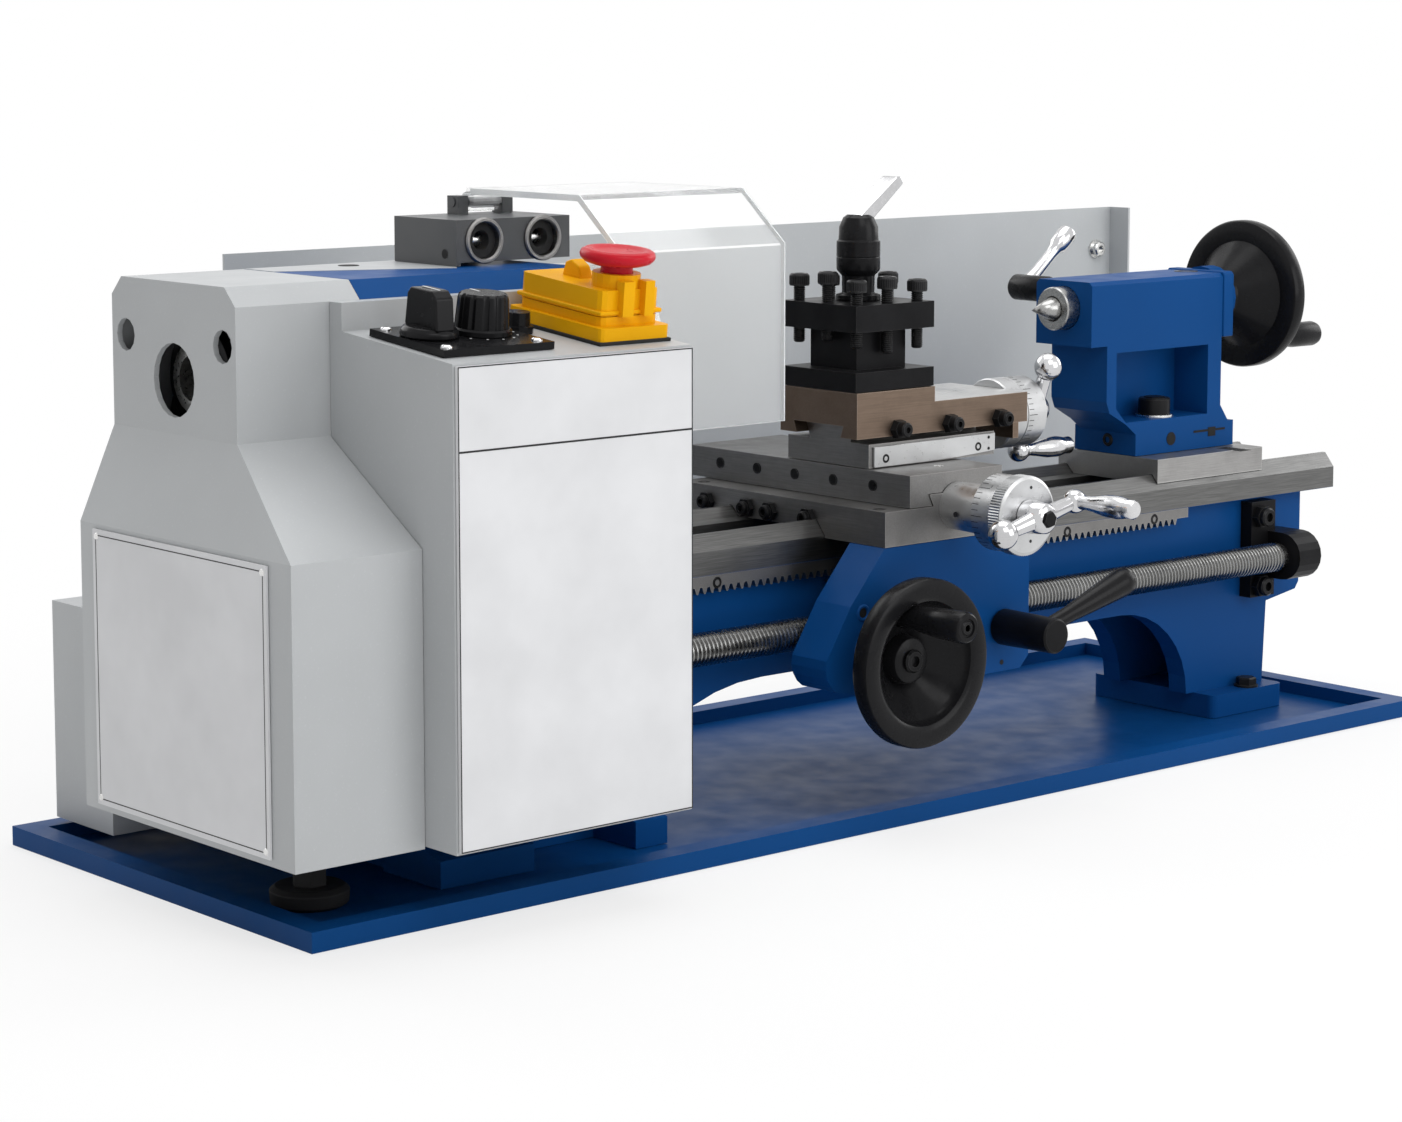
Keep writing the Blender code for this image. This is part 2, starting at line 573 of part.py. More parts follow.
def make_chuck(carrier):
    centre = (0, AXIS_Y, AXIS_Z)
    edge = 2.0
    profile = [(CHUCK_X0, CHUCK_BORE_R), (CHUCK_X0, CHUCK_R), (CHUCK_X1 - edge, CHUCK_R)]
    profile += [(CHUCK_X1, CHUCK_R - edge), (CHUCK_X1, CHUCK_BORE_R)]
    chuck = turned("x", centre, profile, FINE)
    slot = JAW_W / 2 + GAP
    base_x = CHUCK_X1 - 13
    cutters = []
    for index in range(3):
        angle = math.radians(120 * index)
        away = AXIS_Y - slot, AXIS_Y + slot
        cutters.append(radial(block(base_x, CHUCK_X1 + 1, *away, AXIS_Z, AXIS_Z + CHUCK_R + 1), angle))
        key = block(CHUCK_X0 + 13, CHUCK_X0 + 20, AXIS_Y - 3.5, AXIS_Y + 3.5, AXIS_Z + 30,
            AXIS_Z + CHUCK_R + 1)
        cutters.append(radial(key, angle + math.radians(60)))
    node("chuck_body", cut(chuck, *cutters), steel(), centre, carrier)
    front = CHUCK_X1 + JAW_REACH
    floor = base_x + GAP
    steps = [(floor, JAW_INNER), (front, JAW_INNER), (front, JAW_INNER + 8), (front - 5, JAW_INNER + 8)]
    steps += [(front - 5, JAW_INNER + 16), (front - 10, JAW_INNER + 16), (front - 10, JAW_OUTER), (floor, JAW_OUTER)]
    for index in range(3):
        outline = [(x, AXIS_Z + r) for x, r in steps]
        jaw = prism("y", outline, AXIS_Y - JAW_W / 2, AXIS_Y + JAW_W / 2)
        tip = [(AXIS_Y, AXIS_Z + JAW_INNER), (AXIS_Y + 8, AXIS_Z + JAW_INNER - 1), (AXIS_Y + 8, AXIS_Z + JAW_INNER + 5)]
        left = prism("x", tip, floor - 5, front + 5)
        right = prism("x", [(2 * AXIS_Y - y, z) for y, z in tip], floor - 5, front + 5)
        angle = math.radians(120 * index)
        node(f"chuck_jaw_{index + 1}", radial(cut(jaw, left, right), angle), steel(), centre, carrier)


def train_places():
    """The middles of the four change gears, as (y, z)."""
    first, last = (AXIS_Y, AXIS_Z), (LEADSCREW_Y, LEADSCREW_Z)
    reach = [(a + b) * GEAR_MODULE / 2 for a, b in (
        (TEETH_SPINDLE, TEETH_UPPER), (TEETH_UPPER, TEETH_LOWER), (TEETH_LOWER, TEETH_SCREW))]
    lean = math.radians(-110)
    upper = (first[0] + reach[0] * math.cos(lean), first[1] + reach[0] * math.sin(lean))
    lower = circles_meet(upper, reach[1], last, reach[2])
    return [first, upper, lower, last]


def make_change_gears(spindle_phase):
    places = train_places()
    teeth = (TEETH_SPINDLE, TEETH_UPPER, TEETH_LOWER, TEETH_SCREW)
    phase = spindle_phase
    phases = [phase]
    for index in range(3):
        phase = meshed_phase(teeth[index], phase, teeth[index + 1], places[index], places[index + 1])
        phases.append(phase)
    for name, index in (("idler_gear_upper", 1), ("idler_gear_lower", 2)):
        centre = (0, *places[index])
        wheel = gear("x", teeth[index], phases[index], centre, GEAR_X0, GEAR_X1, STUD_R + GAP)
        node(name, wheel, steel(), centre)
    centre = (0, LEADSCREW_Y, LEADSCREW_Z)
    carrier = group("leadscrew_axis", centre)
    wheel = gear("x", TEETH_SCREW, phases[3], centre, GEAR_X0, GEAR_X1, LEADSCREW_R - 4)
    end = BRACKET_BLOCK_X1 - 4
    profile = [(GEAR_X0 - 3, 0), (GEAR_X0 - 3, LEADSCREW_R - 2), (BED_X0 - 3, LEADSCREW_R - 2)]
    profile += [(BED_X0 - 3, LEADSCREW_R), (BRACKET_BLOCK_X0 - 2, LEADSCREW_R)]
    profile += [(BRACKET_BLOCK_X0 - 2, LEADSCREW_R - 2), (end, LEADSCREW_R - 2), (end, 0)]
    node("leadscrew", union(turned("x", centre, profile), wheel), steel(), centre, carrier)
    low_y = BOX_Y1 + 0.7
    plate = [(low_y, LEADSCREW_Z - 12), (LEADSCREW_Y + 38, LEADSCREW_Z - 12)]
    plate += [(LEADSCREW_Y + 38, LEADSCREW_Z + 14), (places[2][0] + 18, places[2][1])]
    plate += [(places[1][0] + 10, places[1][1] + 8), (places[1][0] - 10, places[1][1] + 10)]
    plate += [(low_y, places[2][1] + 12)]
    face = GEAR_X1 + 1
    banjo = prism("x", plate, face, BOX_X0 - 0.4)
    hole = rod("x", centre, face - 3, BED_X0 + 2, LEADSCREW_R - 2 + GAP)
    studs = [rod("x", (0, *places[i]), GEAR_X0 - 2, face + 1, STUD_R, SMALL) for i in (1, 2)]
    heads = [rod("x", (0, *places[i]), GEAR_X0 - 2.6, GEAR_X0 - 0.5, STUD_R + 4, SMALL) for i in (1, 2)]
    pad = block(face + 1, BED_X0 - GAP, WALL_Y0 + 2, LEADSCREW_Y + 38, LEADSCREW_Z - 10, LEADSCREW_Z + 10)
    bush = block(face + 1, BED_X0 + 21, low_y, WALL_Y0 - GAP, LEADSCREW_Z - 12, LEADSCREW_Z + 12)
    banjo = union(banjo, pad, bush, *studs, *heads)
    relief = rod("x", centre, BED_X0 - 5, BED_X0 + 30, LEADSCREW_R + GAP)
    node("change_gear_bracket", cut(banjo, hole, relief), cast())


def make_leadscrew_bracket():
    """The right bearing block, with ears above and below on the bed's front wall."""
    nose = 13.0
    outline = [(WALL_Y0 - GAP, LEADSCREW_Z + nose)]
    outline += arc(LEADSCREW_Y - 1, LEADSCREW_Z, nose, nose, 90, 270, 10)
    outline += [(WALL_Y0 - GAP, LEADSCREW_Z - nose)]
    body = prism("x", outline, BRACKET_BLOCK_X0, BRACKET_BLOCK_X1)
    ears = block(BRACKET_BLOCK_X0 - 14, BRACKET_BLOCK_X0 + 6, WALL_Y0 - 8, WALL_Y0 - GAP, 64, 117)
    pocket = rod("x", (0, LEADSCREW_Y, LEADSCREW_Z), BRACKET_BLOCK_X0 - 20, BRACKET_BLOCK_X1 - 3,
                 LEADSCREW_R - 2 + GAP)
    relief = rod("x", (0, LEADSCREW_Y, LEADSCREW_Z), BRACKET_BLOCK_X0 - 20, BRACKET_BLOCK_X0 - 0.01,
                 LEADSCREW_R + 2)
    node("leadscrew_bracket", cut(union(body, ears), pocket, relief), black())


# --- drive: motor, pulleys and belt ---------------------------------------------------------
def tangent_loop(centre_a, radius_a, centre_b, radius_b, steps=14):
    """The outline of a belt round two pulleys."""
    between = math.dist(centre_a, centre_b)
    towards = math.degrees(math.atan2(centre_b[1] - centre_a[1], centre_b[0] - centre_a[0]))
    spread = math.degrees(math.acos((radius_a - radius_b) / between))
    loop = arc(*centre_a, radius_a, radius_a, towards + spread, towards + 360 - spread, steps)
    return loop + arc(*centre_b, radius_b, radius_b, towards - spread, towards + spread, steps)


def make_drive():
    spindle, motor = (AXIS_Y, AXIS_Z), (MOTOR_Y, MOTOR_Z)
    centre = (0, MOTOR_Y, MOTOR_Z)
    middle = (PULLEY_X0 + PULLEY_X1) / 2
    low, high = middle - BELT_W / 2, middle + BELT_W / 2
    inner = GAP
    belt = prism("x", tangent_loop(spindle, SPINDLE_PULLEY_R + inner + BELT_T, motor,
                                   MOTOR_PULLEY_R + inner + BELT_T), low, high)
    inside = prism("x", tangent_loop(spindle, SPINDLE_PULLEY_R + inner, motor,
                                     MOTOR_PULLEY_R + inner), low - 1, high + 1)
    node("drive_belt", cut(belt, inside), plastic("belt_rubber", (0.02, 0.02, 0.02)))
    stator = rod("x", centre, MOTOR_X0, MOTOR_X1, MOTOR_R)
    foot = block(MOTOR_X0 + 18, MOTOR_X1 - 22, WALL_Y1 + GAP, MOTOR_Y, MOTOR_Z - 22, MOTOR_Z + 22)
    bore = rod("x", centre, MOTOR_X0 - 5, MOTOR_X0 + 30, MOTOR_SHAFT_R + GAP, SMALL)
    node("motor", cut(union(stator, foot), bore), black())
    shaft = rod("x", centre, PULLEY_X0 - 0.5, MOTOR_X0 + 25, MOTOR_SHAFT_R, SMALL)
    pulley = turned("x", centre, pulley_profile(MOTOR_SHAFT_R - 1, MOTOR_PULLEY_R))
    node("motor_pulley", union(shaft, pulley), steel(), centre)


def make_motor_cover():
    """Sheet cover behind the gear cover, with a raised tunnel over the belt."""
    front = HEAD_BACK + GAP
    x0, x1 = MOTOR_COVER_X0, MOTOR_COVER_X1
    side = [(front, 30), (MOTOR_COVER_Y, 30), (MOTOR_COVER_Y, MOTOR_COVER_Z0)]
    side += [(MOTOR_COVER_Y1, MOTOR_COVER_Z0), (MOTOR_COVER_Y1, MOTOR_COVER_Z1), (front, MOTOR_COVER_Z1)]
    tunnel = [(front, 100), (MOTOR_COVER_Y + 4, 100), (MOTOR_COVER_Y + 4, 114), (160, 194), (front, 194)]
    cover = union(prism("x", side, x0, x1), prism("x", tunnel, x0, BED_X0 - 22))
    t = 2.0
    hollow = [(front - 5, 30 + t), (MOTOR_COVER_Y + t, 30 + t), (MOTOR_COVER_Y + t, MOTOR_COVER_Z0 + t)]
    hollow += [(MOTOR_COVER_Y1 - t, MOTOR_COVER_Z0 + t), (MOTOR_COVER_Y1 - t, MOTOR_COVER_Z1 - t)]
    hollow += [(front - 5, MOTOR_COVER_Z1 - t)]
    pipe = [(front - 5, 90), (MOTOR_COVER_Y + 1.5, 90), (MOTOR_COVER_Y + 1.5, 113.2), (158.6, 192)]
    pipe += [(front - 5, 192)]
    cut(cover, prism("x", hollow, x0 + t, x1 - t), prism("x", pipe, x0 + t, BED_X0 - 22 - t))
    node("motor_cover", cover, grey())


# --- gear cover and control box -------------------------------------------------------------
def loft(sections):
    """A closed hull through rectangles given as (z, x0, x1, y0, y1)."""
    bm = bmesh.new()
    rings = []
    for z, x0, x1, y0, y1 in sections:
        corners = ((x0, y0), (x1, y0), (x1, y1), (x0, y1))
        rings.append([bm.verts.new(world(x, y, z)) for x, y in corners])
    bm.faces.new(rings[0])
    bm.faces.new(rings[-1])
    for lower, upper in zip(rings, rings[1:]):
        for i in range(4):
            j = (i + 1) % 4
            bm.faces.new((lower[i], lower[j], upper[j], upper[i]))
    return from_bmesh(bm)


def make_gear_cover():
    right, t, ch = HEAD_X0 - GAP, COVER_T, HEAD_CHAMFER
    front, back, top = HEAD_FRONT, HEAD_BACK, HEAD_TOP
    outer = loft([(COVER_BOTTOM, COVER_FLARE_X0, right, COVER_FLARE_Y0, back),
                  (COVER_KINK, COVER_FLARE_X0, right, COVER_FLARE_Y0, back),
                  (COVER_WAIST, COVER_X0, right, front, back),
                  (top - ch, COVER_X0, right, front, back),
                  (top, COVER_X0, right, front + ch, back - ch)])
    past = right + 20
    inner = loft([(COVER_BOTTOM - 5, COVER_FLARE_X0 + t, past, COVER_FLARE_Y0 + t, back - t),
                  (COVER_KINK - 1, COVER_FLARE_X0 + t, past, COVER_FLARE_Y0 + t, back - t),
                  (COVER_WAIST - 1, COVER_X0 + t, past, front + t, back - t),
                  (top - ch - 1, COVER_X0 + t, past, front + t, back - t),
                  (top - t, COVER_X0 + t, past, front + ch + 1, back - ch - 1)])
    corner = block(BOX_X0 - GAP, past, COVER_FLARE_Y0 - 10, front - GAP, 0, LEDGE_Z1 + 20)
    window = block(PULLEY_X0 - 1.5, PULLEY_X1 + 1.5, back - 10, back + 10, 76, 194)
    left = COVER_X0 - 10, COVER_X0 + 10
    holes = [rod("x", (0, AXIS_Y, AXIS_Z), *left, COVER_HOLE_R)]
    holes += [rod("x", (0, AXIS_Y + s * 38, AXIS_Z + 17), *left, 7.2, SMALL) for s in (-1, 1)]
    node("gear_cover", cut(outer, inner, corner, window, *holes), grey())
    chart = block(COVER_FLARE_X0 - 1.3, COVER_FLARE_X0 - GAP, COVER_FLARE_Y0 + 16, back - 12,
                  COVER_BOTTOM + 3, COVER_KINK - 2)
    node("gear_chart_plate", chart, plastic("label_white", (0.75, 0.76, 0.76)))


def sloped(obj):
    """Lay a shape made on a level top at the front's height onto the box's sloping top."""
    return tilt(obj, "x", BOX_SLOPE, (0, BOX_Y0, BOX_FRONT_TOP))


def sloped_point(x, y, height):
    """Where a point over that level top ends up."""
    run = y - BOX_Y0
    cos, sin = math.cos(BOX_SLOPE), math.sin(BOX_SLOPE)
    return (x, BOX_Y0 + run * cos - height * sin, BOX_FRONT_TOP + run * sin + height * cos)


def make_control_box():
    ledge_y = HEAD_FRONT - GAP
    outline = [(BOX_Y0, BOX_BOTTOM), (BOX_Y1, BOX_BOTTOM), (BOX_Y1, LEDGE_Z0), (ledge_y, LEDGE_Z0)]
    outline += [(ledge_y, LEDGE_Z1), (BOX_Y1, LEDGE_Z1), (BOX_Y1, BOX_BACK_TOP), (BOX_Y0, BOX_FRONT_TOP)]
    shell = prism("x", outline, BOX_X0, BOX_X1)
    t = BOX_T
    cavity = [(BOX_Y0 + t, BOX_BOTTOM - 5), (BOX_Y1 - t, BOX_BOTTOM - 5), (BOX_Y1 - t, BOX_BACK_TOP - t)]
    cavity += [(BOX_Y0 + t, BOX_FRONT_TOP - t)]
    holes = [prism("x", cavity, BOX_X0 + t, BOX_X1 - t)]
    for x, y in (DIRECTION_KNOB, SPEED_KNOB, FUSE):
        holes.append(sloped(rod("z", (x, y, 0), BOX_FRONT_TOP - 12, BOX_FRONT_TOP + 12, KNOB_SHAFT_R + GAP,
            SMALL)))
    node("control_box", cut(shell, *holes), grey())
    white = plastic("label_white", (0.75, 0.76, 0.76))
    y1 = BOX_Y0 - GAP
    plate = block(BOX_X0 + 1, BOX_X1 - 1, y1 - PLATE_T, y1, BOX_BOTTOM + 1, BOX_FRONT_TOP - 1)
    node("front_plate", plate, white)


def make_panel_controls():
    x0, x1, y0, y1 = PANEL
    base = BOX_FRONT_TOP + GAP
    top = base + PANEL_T
    plate = block(x0, x1, y0, y1, base, top)
    hole = [rod("z", (x, y, 0), base - 5, top + 5, KNOB_SHAFT_R + GAP, SMALL)
            for x, y in (DIRECTION_KNOB, SPEED_KNOB)]
    node("control_panel", sloped(cut(plate, *hole)), plastic("panel_black", (0.015, 0.015, 0.016)))
    knob_black = plastic("knob_black", (0.012, 0.012, 0.013))
    seat, foot = top + GAP, BOX_FRONT_TOP - 8
    x, y = SPEED_KNOB
    profile = [(foot, 0), (foot, KNOB_SHAFT_R), (seat, KNOB_SHAFT_R), (seat, 13), (seat + 2, 13),
        (seat + 3.5, 11.4)]
    profile += [(seat + 16, 10.6), (seat + 17, 9.6), (seat + 17, 0)]
    speed = turned("z", (x, y, 0), profile)
    node("speed_knob", sloped(speed), knob_black, sloped_point(x, y, PANEL_T))
    x, y = DIRECTION_KNOB
    profile = [(foot, 0), (foot, KNOB_SHAFT_R), (seat, KNOB_SHAFT_R), (seat, 12.5), (seat + 3, 12.5),
        (seat + 4, 11)]
    profile += [(seat + 4, 0)]
    grip = [(x - 5, seat + 3), (x + 5, seat + 3), (x + 3.8, seat + 20), (x - 3.8, seat + 20)]
    pointer = prism("y", grip, y - 11.5, y + 11.5)
    end = prism("x", [(y - 12, seat + 12), (y - 12, seat + 22), (y - 7, seat + 22)], x - 9, x + 9)
    pointer = cut(pointer, end)
    node("direction_knob", sloped(union(turned("z", (x, y, 0), profile), pointer)), knob_black,
         sloped_point(x, y, PANEL_T))
    x, y = FUSE
    profile = [(foot, 0), (foot, KNOB_SHAFT_R), (base, KNOB_SHAFT_R), (base, 7.2), (base + 3, 7.2),
        (base + 3.5, 5.8)]
    profile += [(base + 9, 5.4), (base + 9, 0)]
    node("fuse_cap", sloped(turned("z", (x, y, 0), profile, SMALL)), knob_black)


def make_switch():
    """A flip-lid safety switch: gasket, body, lid with the stop mushroom, start button under it."""
    x0, x1, y0, y1 = SWITCH
    base = BOX_FRONT_TOP + GAP
    yellow = plastic("switch_yellow", (0.8, 0.42, 0.01))
    floor = base
    top = floor + SWITCH_BODY_H
    flange = prism("z", rounded(x0, x1, y0, y1, 2, 2), floor, floor + 7)
    body = prism("z", rounded(x0 + 3, x1 - 3, y0 + 4.5, y1 - 3.5, 3, 2), floor + 3, top)
    x, y = START_POINT
    start_w = 6.0
    well = block(x - start_w - GAP, x + start_w + GAP, y - start_w - GAP, y + start_w + GAP, top - 8, top + 1)
    node("switch_box", sloped(cut(union(flange, body), well)), yellow)
    start = block(x - start_w, x + start_w, y - start_w, y + start_w, top - 8 + BUTTON_TRAVEL + GAP, top + 3)
    node("start_button", sloped(start), plastic("start_green", (0.02, 0.3, 0.06)),
         sloped_point(x, y, top - BOX_FRONT_TOP))
    seat, roof = top + GAP, top + GAP + SWITCH_LID_H
    lid = prism("z", rounded(x0 + 3, x1 - 3, y0 + 4.5, y1 - 3.5, 3, 2), seat, roof)
    latch = union(block(x0 + 12, x0 + 18, y0 + 0.8, y0 + 6, seat, roof + 4),
                  block(x1 - 14, x1 - 9, y0 + 0.8, y0 + 6, seat, roof + 4))
    x, y = STOP_POINT
    collar = rod("z", (x, y, 0), roof - 1, roof + 6, 10.5)
    under = block(x0 + 6, x1 - 6, y0 + 9, y1 - 7, seat - 1, roof - 2.5)
    socket = rod("z", (x, y, 0), roof - 5, roof + 10, 7 + GAP)
    hinge = sloped_point((x0 + x1) / 2, y1 - 3.5, seat - BOX_FRONT_TOP)
    lid = cut(union(lid, latch, collar), under, socket)
    node("switch_lid", sloped(lid), yellow, hinge)
    head = roof + 6 + GAP + BUTTON_TRAVEL
    profile = [(roof - 2, 0), (roof - 2, 7), (head, 7), (head, 11), (head + 2.5, STOP_R - 0.5),
        (head + 4, STOP_R)]
    profile += [(head + 6, STOP_R - 0.8), (head + 7.5, STOP_R - 4), (head + 7, STOP_R - 6), (head + 7, 0)]
    node("stop_button", sloped(turned("z", (x, y, 0), profile)), plastic("stop_red", (0.55, 0.01, 0.015)),
         sloped_point(x, y, roof - BOX_FRONT_TOP))


# --- guards ---------------------------------------------------------------------------------
def make_guard():
    x0, x1, y0, y1, top, t = BRACKET_X0, BRACKET_X1, BRACKET_Y0, BRACKET_Y1, BRACKET_TOP, BRACKET_T
    seat = HEAD_TOP + GAP
    bracket = block(x0, x1, y0, y1, top - t, top)
    walls = [block(x0, x0 + t, y0, y1, seat, top), block(x1 - t, x1, y0, y1, seat + 1.5, top)]
    walls.append(block(x0, x1, y0, y0 + t, seat + 1.5, top))
    walls.append(block(x0, HEAD_X1, y1 - t, y1, seat, top))
    lug = [(HINGE_Y - 4, top - 1), (HINGE_Y + 4, top - 1), (HINGE_Y + 4, HINGE_Z + 3),
        (HINGE_Y - 4, HINGE_Z + 3)]
    lug_x = ((172.0, 178.0), (198.0, 204.0))
    walls += [prism("x", lug, *ends) for ends in lug_x]
    bar_z = (seat + top) / 2 + 0.5
    holes = [rod("y", (x, 0, bar_z), y0 - 5, y0 + 8, 8.5, SMALL) for x in (x0 + 15.5, x0 + 49)]
    walls.append(rod("x", (0, HINGE_Y, HINGE_Z), lug_x[0][0] - 0.5, lug_x[1][1] + 0.5, HINGE_R, SMALL))
    node("guard_bracket", cut(union(bracket, *walls), *holes), plastic("bracket_grey", (0.05, 0.052, 0.055)))
    gt = GUARD_T
    top = GUARD_TOP
    outline = [(HINGE_Y - 5, top), (45, top), (GUARD_FRONT, 279), (GUARD_FRONT, GUARD_BOTTOM)]
    outline += [(GUARD_FRONT + gt, GUARD_BOTTOM), (GUARD_FRONT + gt, 277.7), (46.2, top - gt),
        (HINGE_Y - 5, top - gt)]
    guard = prism("x", outline, GUARD_X0, GUARD_X1)
    tab = block(lug_x[0][1] + 2, lug_x[1][0] - 2, HINGE_Y - 6, HINGE_Y, HINGE_Z - 1, top)
    knuckle = rod("x", (0, HINGE_Y, HINGE_Z), lug_x[0][1] + 2, lug_x[1][0] - 2, 4.6, SMALL)
    hole = rod("x", (0, HINGE_Y, HINGE_Z), x0, x1, HINGE_R + GAP, SMALL)
    guard = cut(union(guard, union(tab, knuckle)), hole)
    clear = material("clear_guard", (0.9, 0.92, 0.92), 0.08, 0.0, 0.3)
    node("chuck_guard", guard, clear, (GUARD_X0, HINGE_Y, HINGE_Z))


def make_splash_guard():
    y1 = SPLASH_Y + SPLASH_T
    outline = [(SPLASH_X0, SPLASH_Y), (SPLASH_X1 - SPLASH_T, SPLASH_Y), (SPLASH_X1 - SPLASH_T, y1 - 16)]
    outline += [(SPLASH_X1, y1 - 16), (SPLASH_X1, y1), (SPLASH_X0, y1)]
    guard = prism("z", outline, SPLASH_Z0, SPLASH_TOP)
    arms = []
    for x in SPLASH_ARMS_X:
        arms.append(block(x, x + 16, WALL_Y1 + GAP, SPLASH_Y + 1, 98, 101))
        arms.append(block(x, x + 16, WALL_Y1 + GAP, WALL_Y1 + GAP + 3, 84, 101))
        arms.append(block(x, x + 16, SPLASH_Y - 3, SPLASH_Y + 1, 98, 116))
    node("splash_guard", union(guard, *arms), grey())


# --- carriage -------------------------------------------------------------------------------
def dovetail(at, low, width, height, flare, extra=0.0):
    """The section of a dovetail rail, wider at its top, grown by a clearance for its groove."""
    half = width / 2 + extra
    return [(at - half, low), (at + half, low), (at + half + flare, low + height + extra),
            (at - half - flare, low + height + extra)]


def make_saddle():
    body = prism("x", way_outline(SADDLE_FRONT, SADDLE_BACK, SADDLE_BOTTOM, SADDLE_TOP), SADDLE_X0, SADDLE_X1)
    rail = prism("y", dovetail(CROSS_SCREW_X, SADDLE_TOP - 1, DOVETAIL_W, DOVETAIL_H + 1, DOVETAIL_FLARE),
                 SADDLE_FRONT, SADDLE_BACK)
    slot = block(CROSS_SCREW_X - NUT_SLOT, CROSS_SCREW_X + NUT_SLOT, SADDLE_FRONT + 14, SADDLE_BACK - 6,
                 CROSS_SCREW_Z - 4.6, SADDLE_TOP + 20)
    bore = rod("y", (CROSS_SCREW_X, 0, CROSS_SCREW_Z), SADDLE_FRONT - 5, SADDLE_FRONT + 20,
        FEED_SCREW_R + GAP)
    under = RAIL_Z0 - GAP
    back = RAIL_Y1 + GAP
    low = under - 5
    keep = [(back, SADDLE_BOTTOM + 1), (SADDLE_BACK - 4, SADDLE_BOTTOM + 1), (SADDLE_BACK - 4, low)]
    keep += [(WALL_Y1 + 0.7, low), (WALL_Y1 + 0.7, under), (back, under)]
    keep = prism("x", keep, SADDLE_X0 + 4, SADDLE_X1 - 4)
    node("saddle", cut(union(body, rail, keep), slot, bore), cast())


def make_apron():
    top = SADDLE_BOTTOM - GAP
    y0, y1 = APRON_BACK - APRON_T, APRON_BACK
    outline = [(APRON_X1, top), (SADDLE_X0, top), (APRON_X0 + 16, APRON_Z0 + 44)]
    outline += arc(APRON_X0 + 14, APRON_Z0 + 16, 14, 14, 165, 240, 4)
    outline += [(APRON_X0 + 26, APRON_Z0), (APRON_X1 - 6, APRON_Z0), (APRON_X1, APRON_Z0 + 6)]
    apron = prism("y", outline, y0, y1)
    inside = y0 + APRON_WALL
    wheel = (WHEEL_X, 0, WHEEL_Z)
    pinion = (PINION_X, 0, PINION_Z)
    lever = (LEVER_X, 0, LEVER_Z)
    small = (TEETH_WHEEL / 2 + 1) * GEAR_MODULE + 1.5
    large = (TEETH_REDUCE / 2 + 1) * GEAR_MODULE + 1.0
    cutters = [rod("y", wheel, inside, y1 + 5, small), rod("y", pinion, inside, y1 + 5, large, FINE)]
    cutters.append(rod("y", lever, inside, y1 + 5, CAM_R + 1))
    cutters += [rod("y", place_, y0 - 5, inside + 1, SHAFT_R + GAP, SMALL) for place_ in (wheel, lever)]
    cutters.append(rod("y", pinion, inside - 5, inside + 1, SHAFT_R + GAP, SMALL))
    node("apron", cut(apron, *cutters), blue())


def make_apron_gears():
    """The reduction gear and the rack pinion on one shaft, in mesh with the handwheel and the rack."""
    pinion = (PINION_X, 0, PINION_Z)
    small = (WHEEL_X, WHEEL_Z), (PINION_X, PINION_Z)
    phase = meshed_phase(TEETH_WHEEL, WHEEL_GEAR_PHASE, TEETH_REDUCE, *small)
    large = gear("y", TEETH_REDUCE, phase, pinion, GEAR_Y0, GEAR_Y1, 0)
    rack_gear = gear("y", TEETH_PINION, math.radians(90), pinion, RACK_Y0 - 2, RACK_Y1 - 0.2, 0)
    y0 = APRON_BACK - APRON_T
    shaft = rod("y", pinion, y0 + APRON_WALL - 3, RACK_Y0, SHAFT_R, SMALL)
    node("rack_pinion", union(large, rack_gear, shaft), steel(), pinion)


def make_apron_wheel():
    centre = (WHEEL_X, 0, WHEEL_Z)
    front = -10.0
    hub_end = APRON_BACK - APRON_T - GAP
    wheel = turned("y", centre, wheel_profile(front, hub_end, WHEEL_R, 13.0, 10.0, 28.5), FINE)
    angle = math.radians(105)
    reach = WHEEL_R - WHEEL_GRIP_IN
    at = (WHEEL_X + reach * math.cos(angle), 0, WHEEL_Z + reach * math.sin(angle))
    grip = turned("y", at, [(front - 32, 0), (front - 32, 6.2), (front - 30, 7.5), (front - 16, 7.3),
                            (front, 5.8), (front + 14, 5.6), (front + 14, 0)], SMALL)
    shaft = rod("y", centre, front + HUB_SINK + 4, GEAR_Y0 + 2, SHAFT_R, SMALL)
    drive = gear("y", TEETH_WHEEL, WHEEL_GEAR_PHASE, centre, GEAR_Y0, GEAR_Y1, 0)
    node("apron_handwheel", union(wheel, grip, shaft, drive), black(),
        (WHEEL_X, APRON_BACK - APRON_T, WHEEL_Z))


def wheel_profile(front, hub_end, radius, hub_r, rim_t, web_r):
    """A bowl handwheel's section: rim in front, a cone running back to the hub, the hub's face sunk in it."""
    return [(front + HUB_SINK, 0), (front + HUB_SINK, hub_r - 3), (front + HUB_SINK + 1, hub_r - 2),
            (front + HUB_SINK + 8, hub_r - 1), (front + 6, web_r - 1), (front + 3, web_r + 1),
            (front + 1, web_r + 2), (front, web_r + 4), (front, radius - 2), (front + 2, radius),
            (front + rim_t - 2, radius), (front + rim_t, radius - 2), (front + rim_t, web_r + 3),
            (front + rim_t - 1, web_r), (front + HUB_SINK + 13, hub_r + 2), (hub_end, hub_r), (hub_end, 0)]


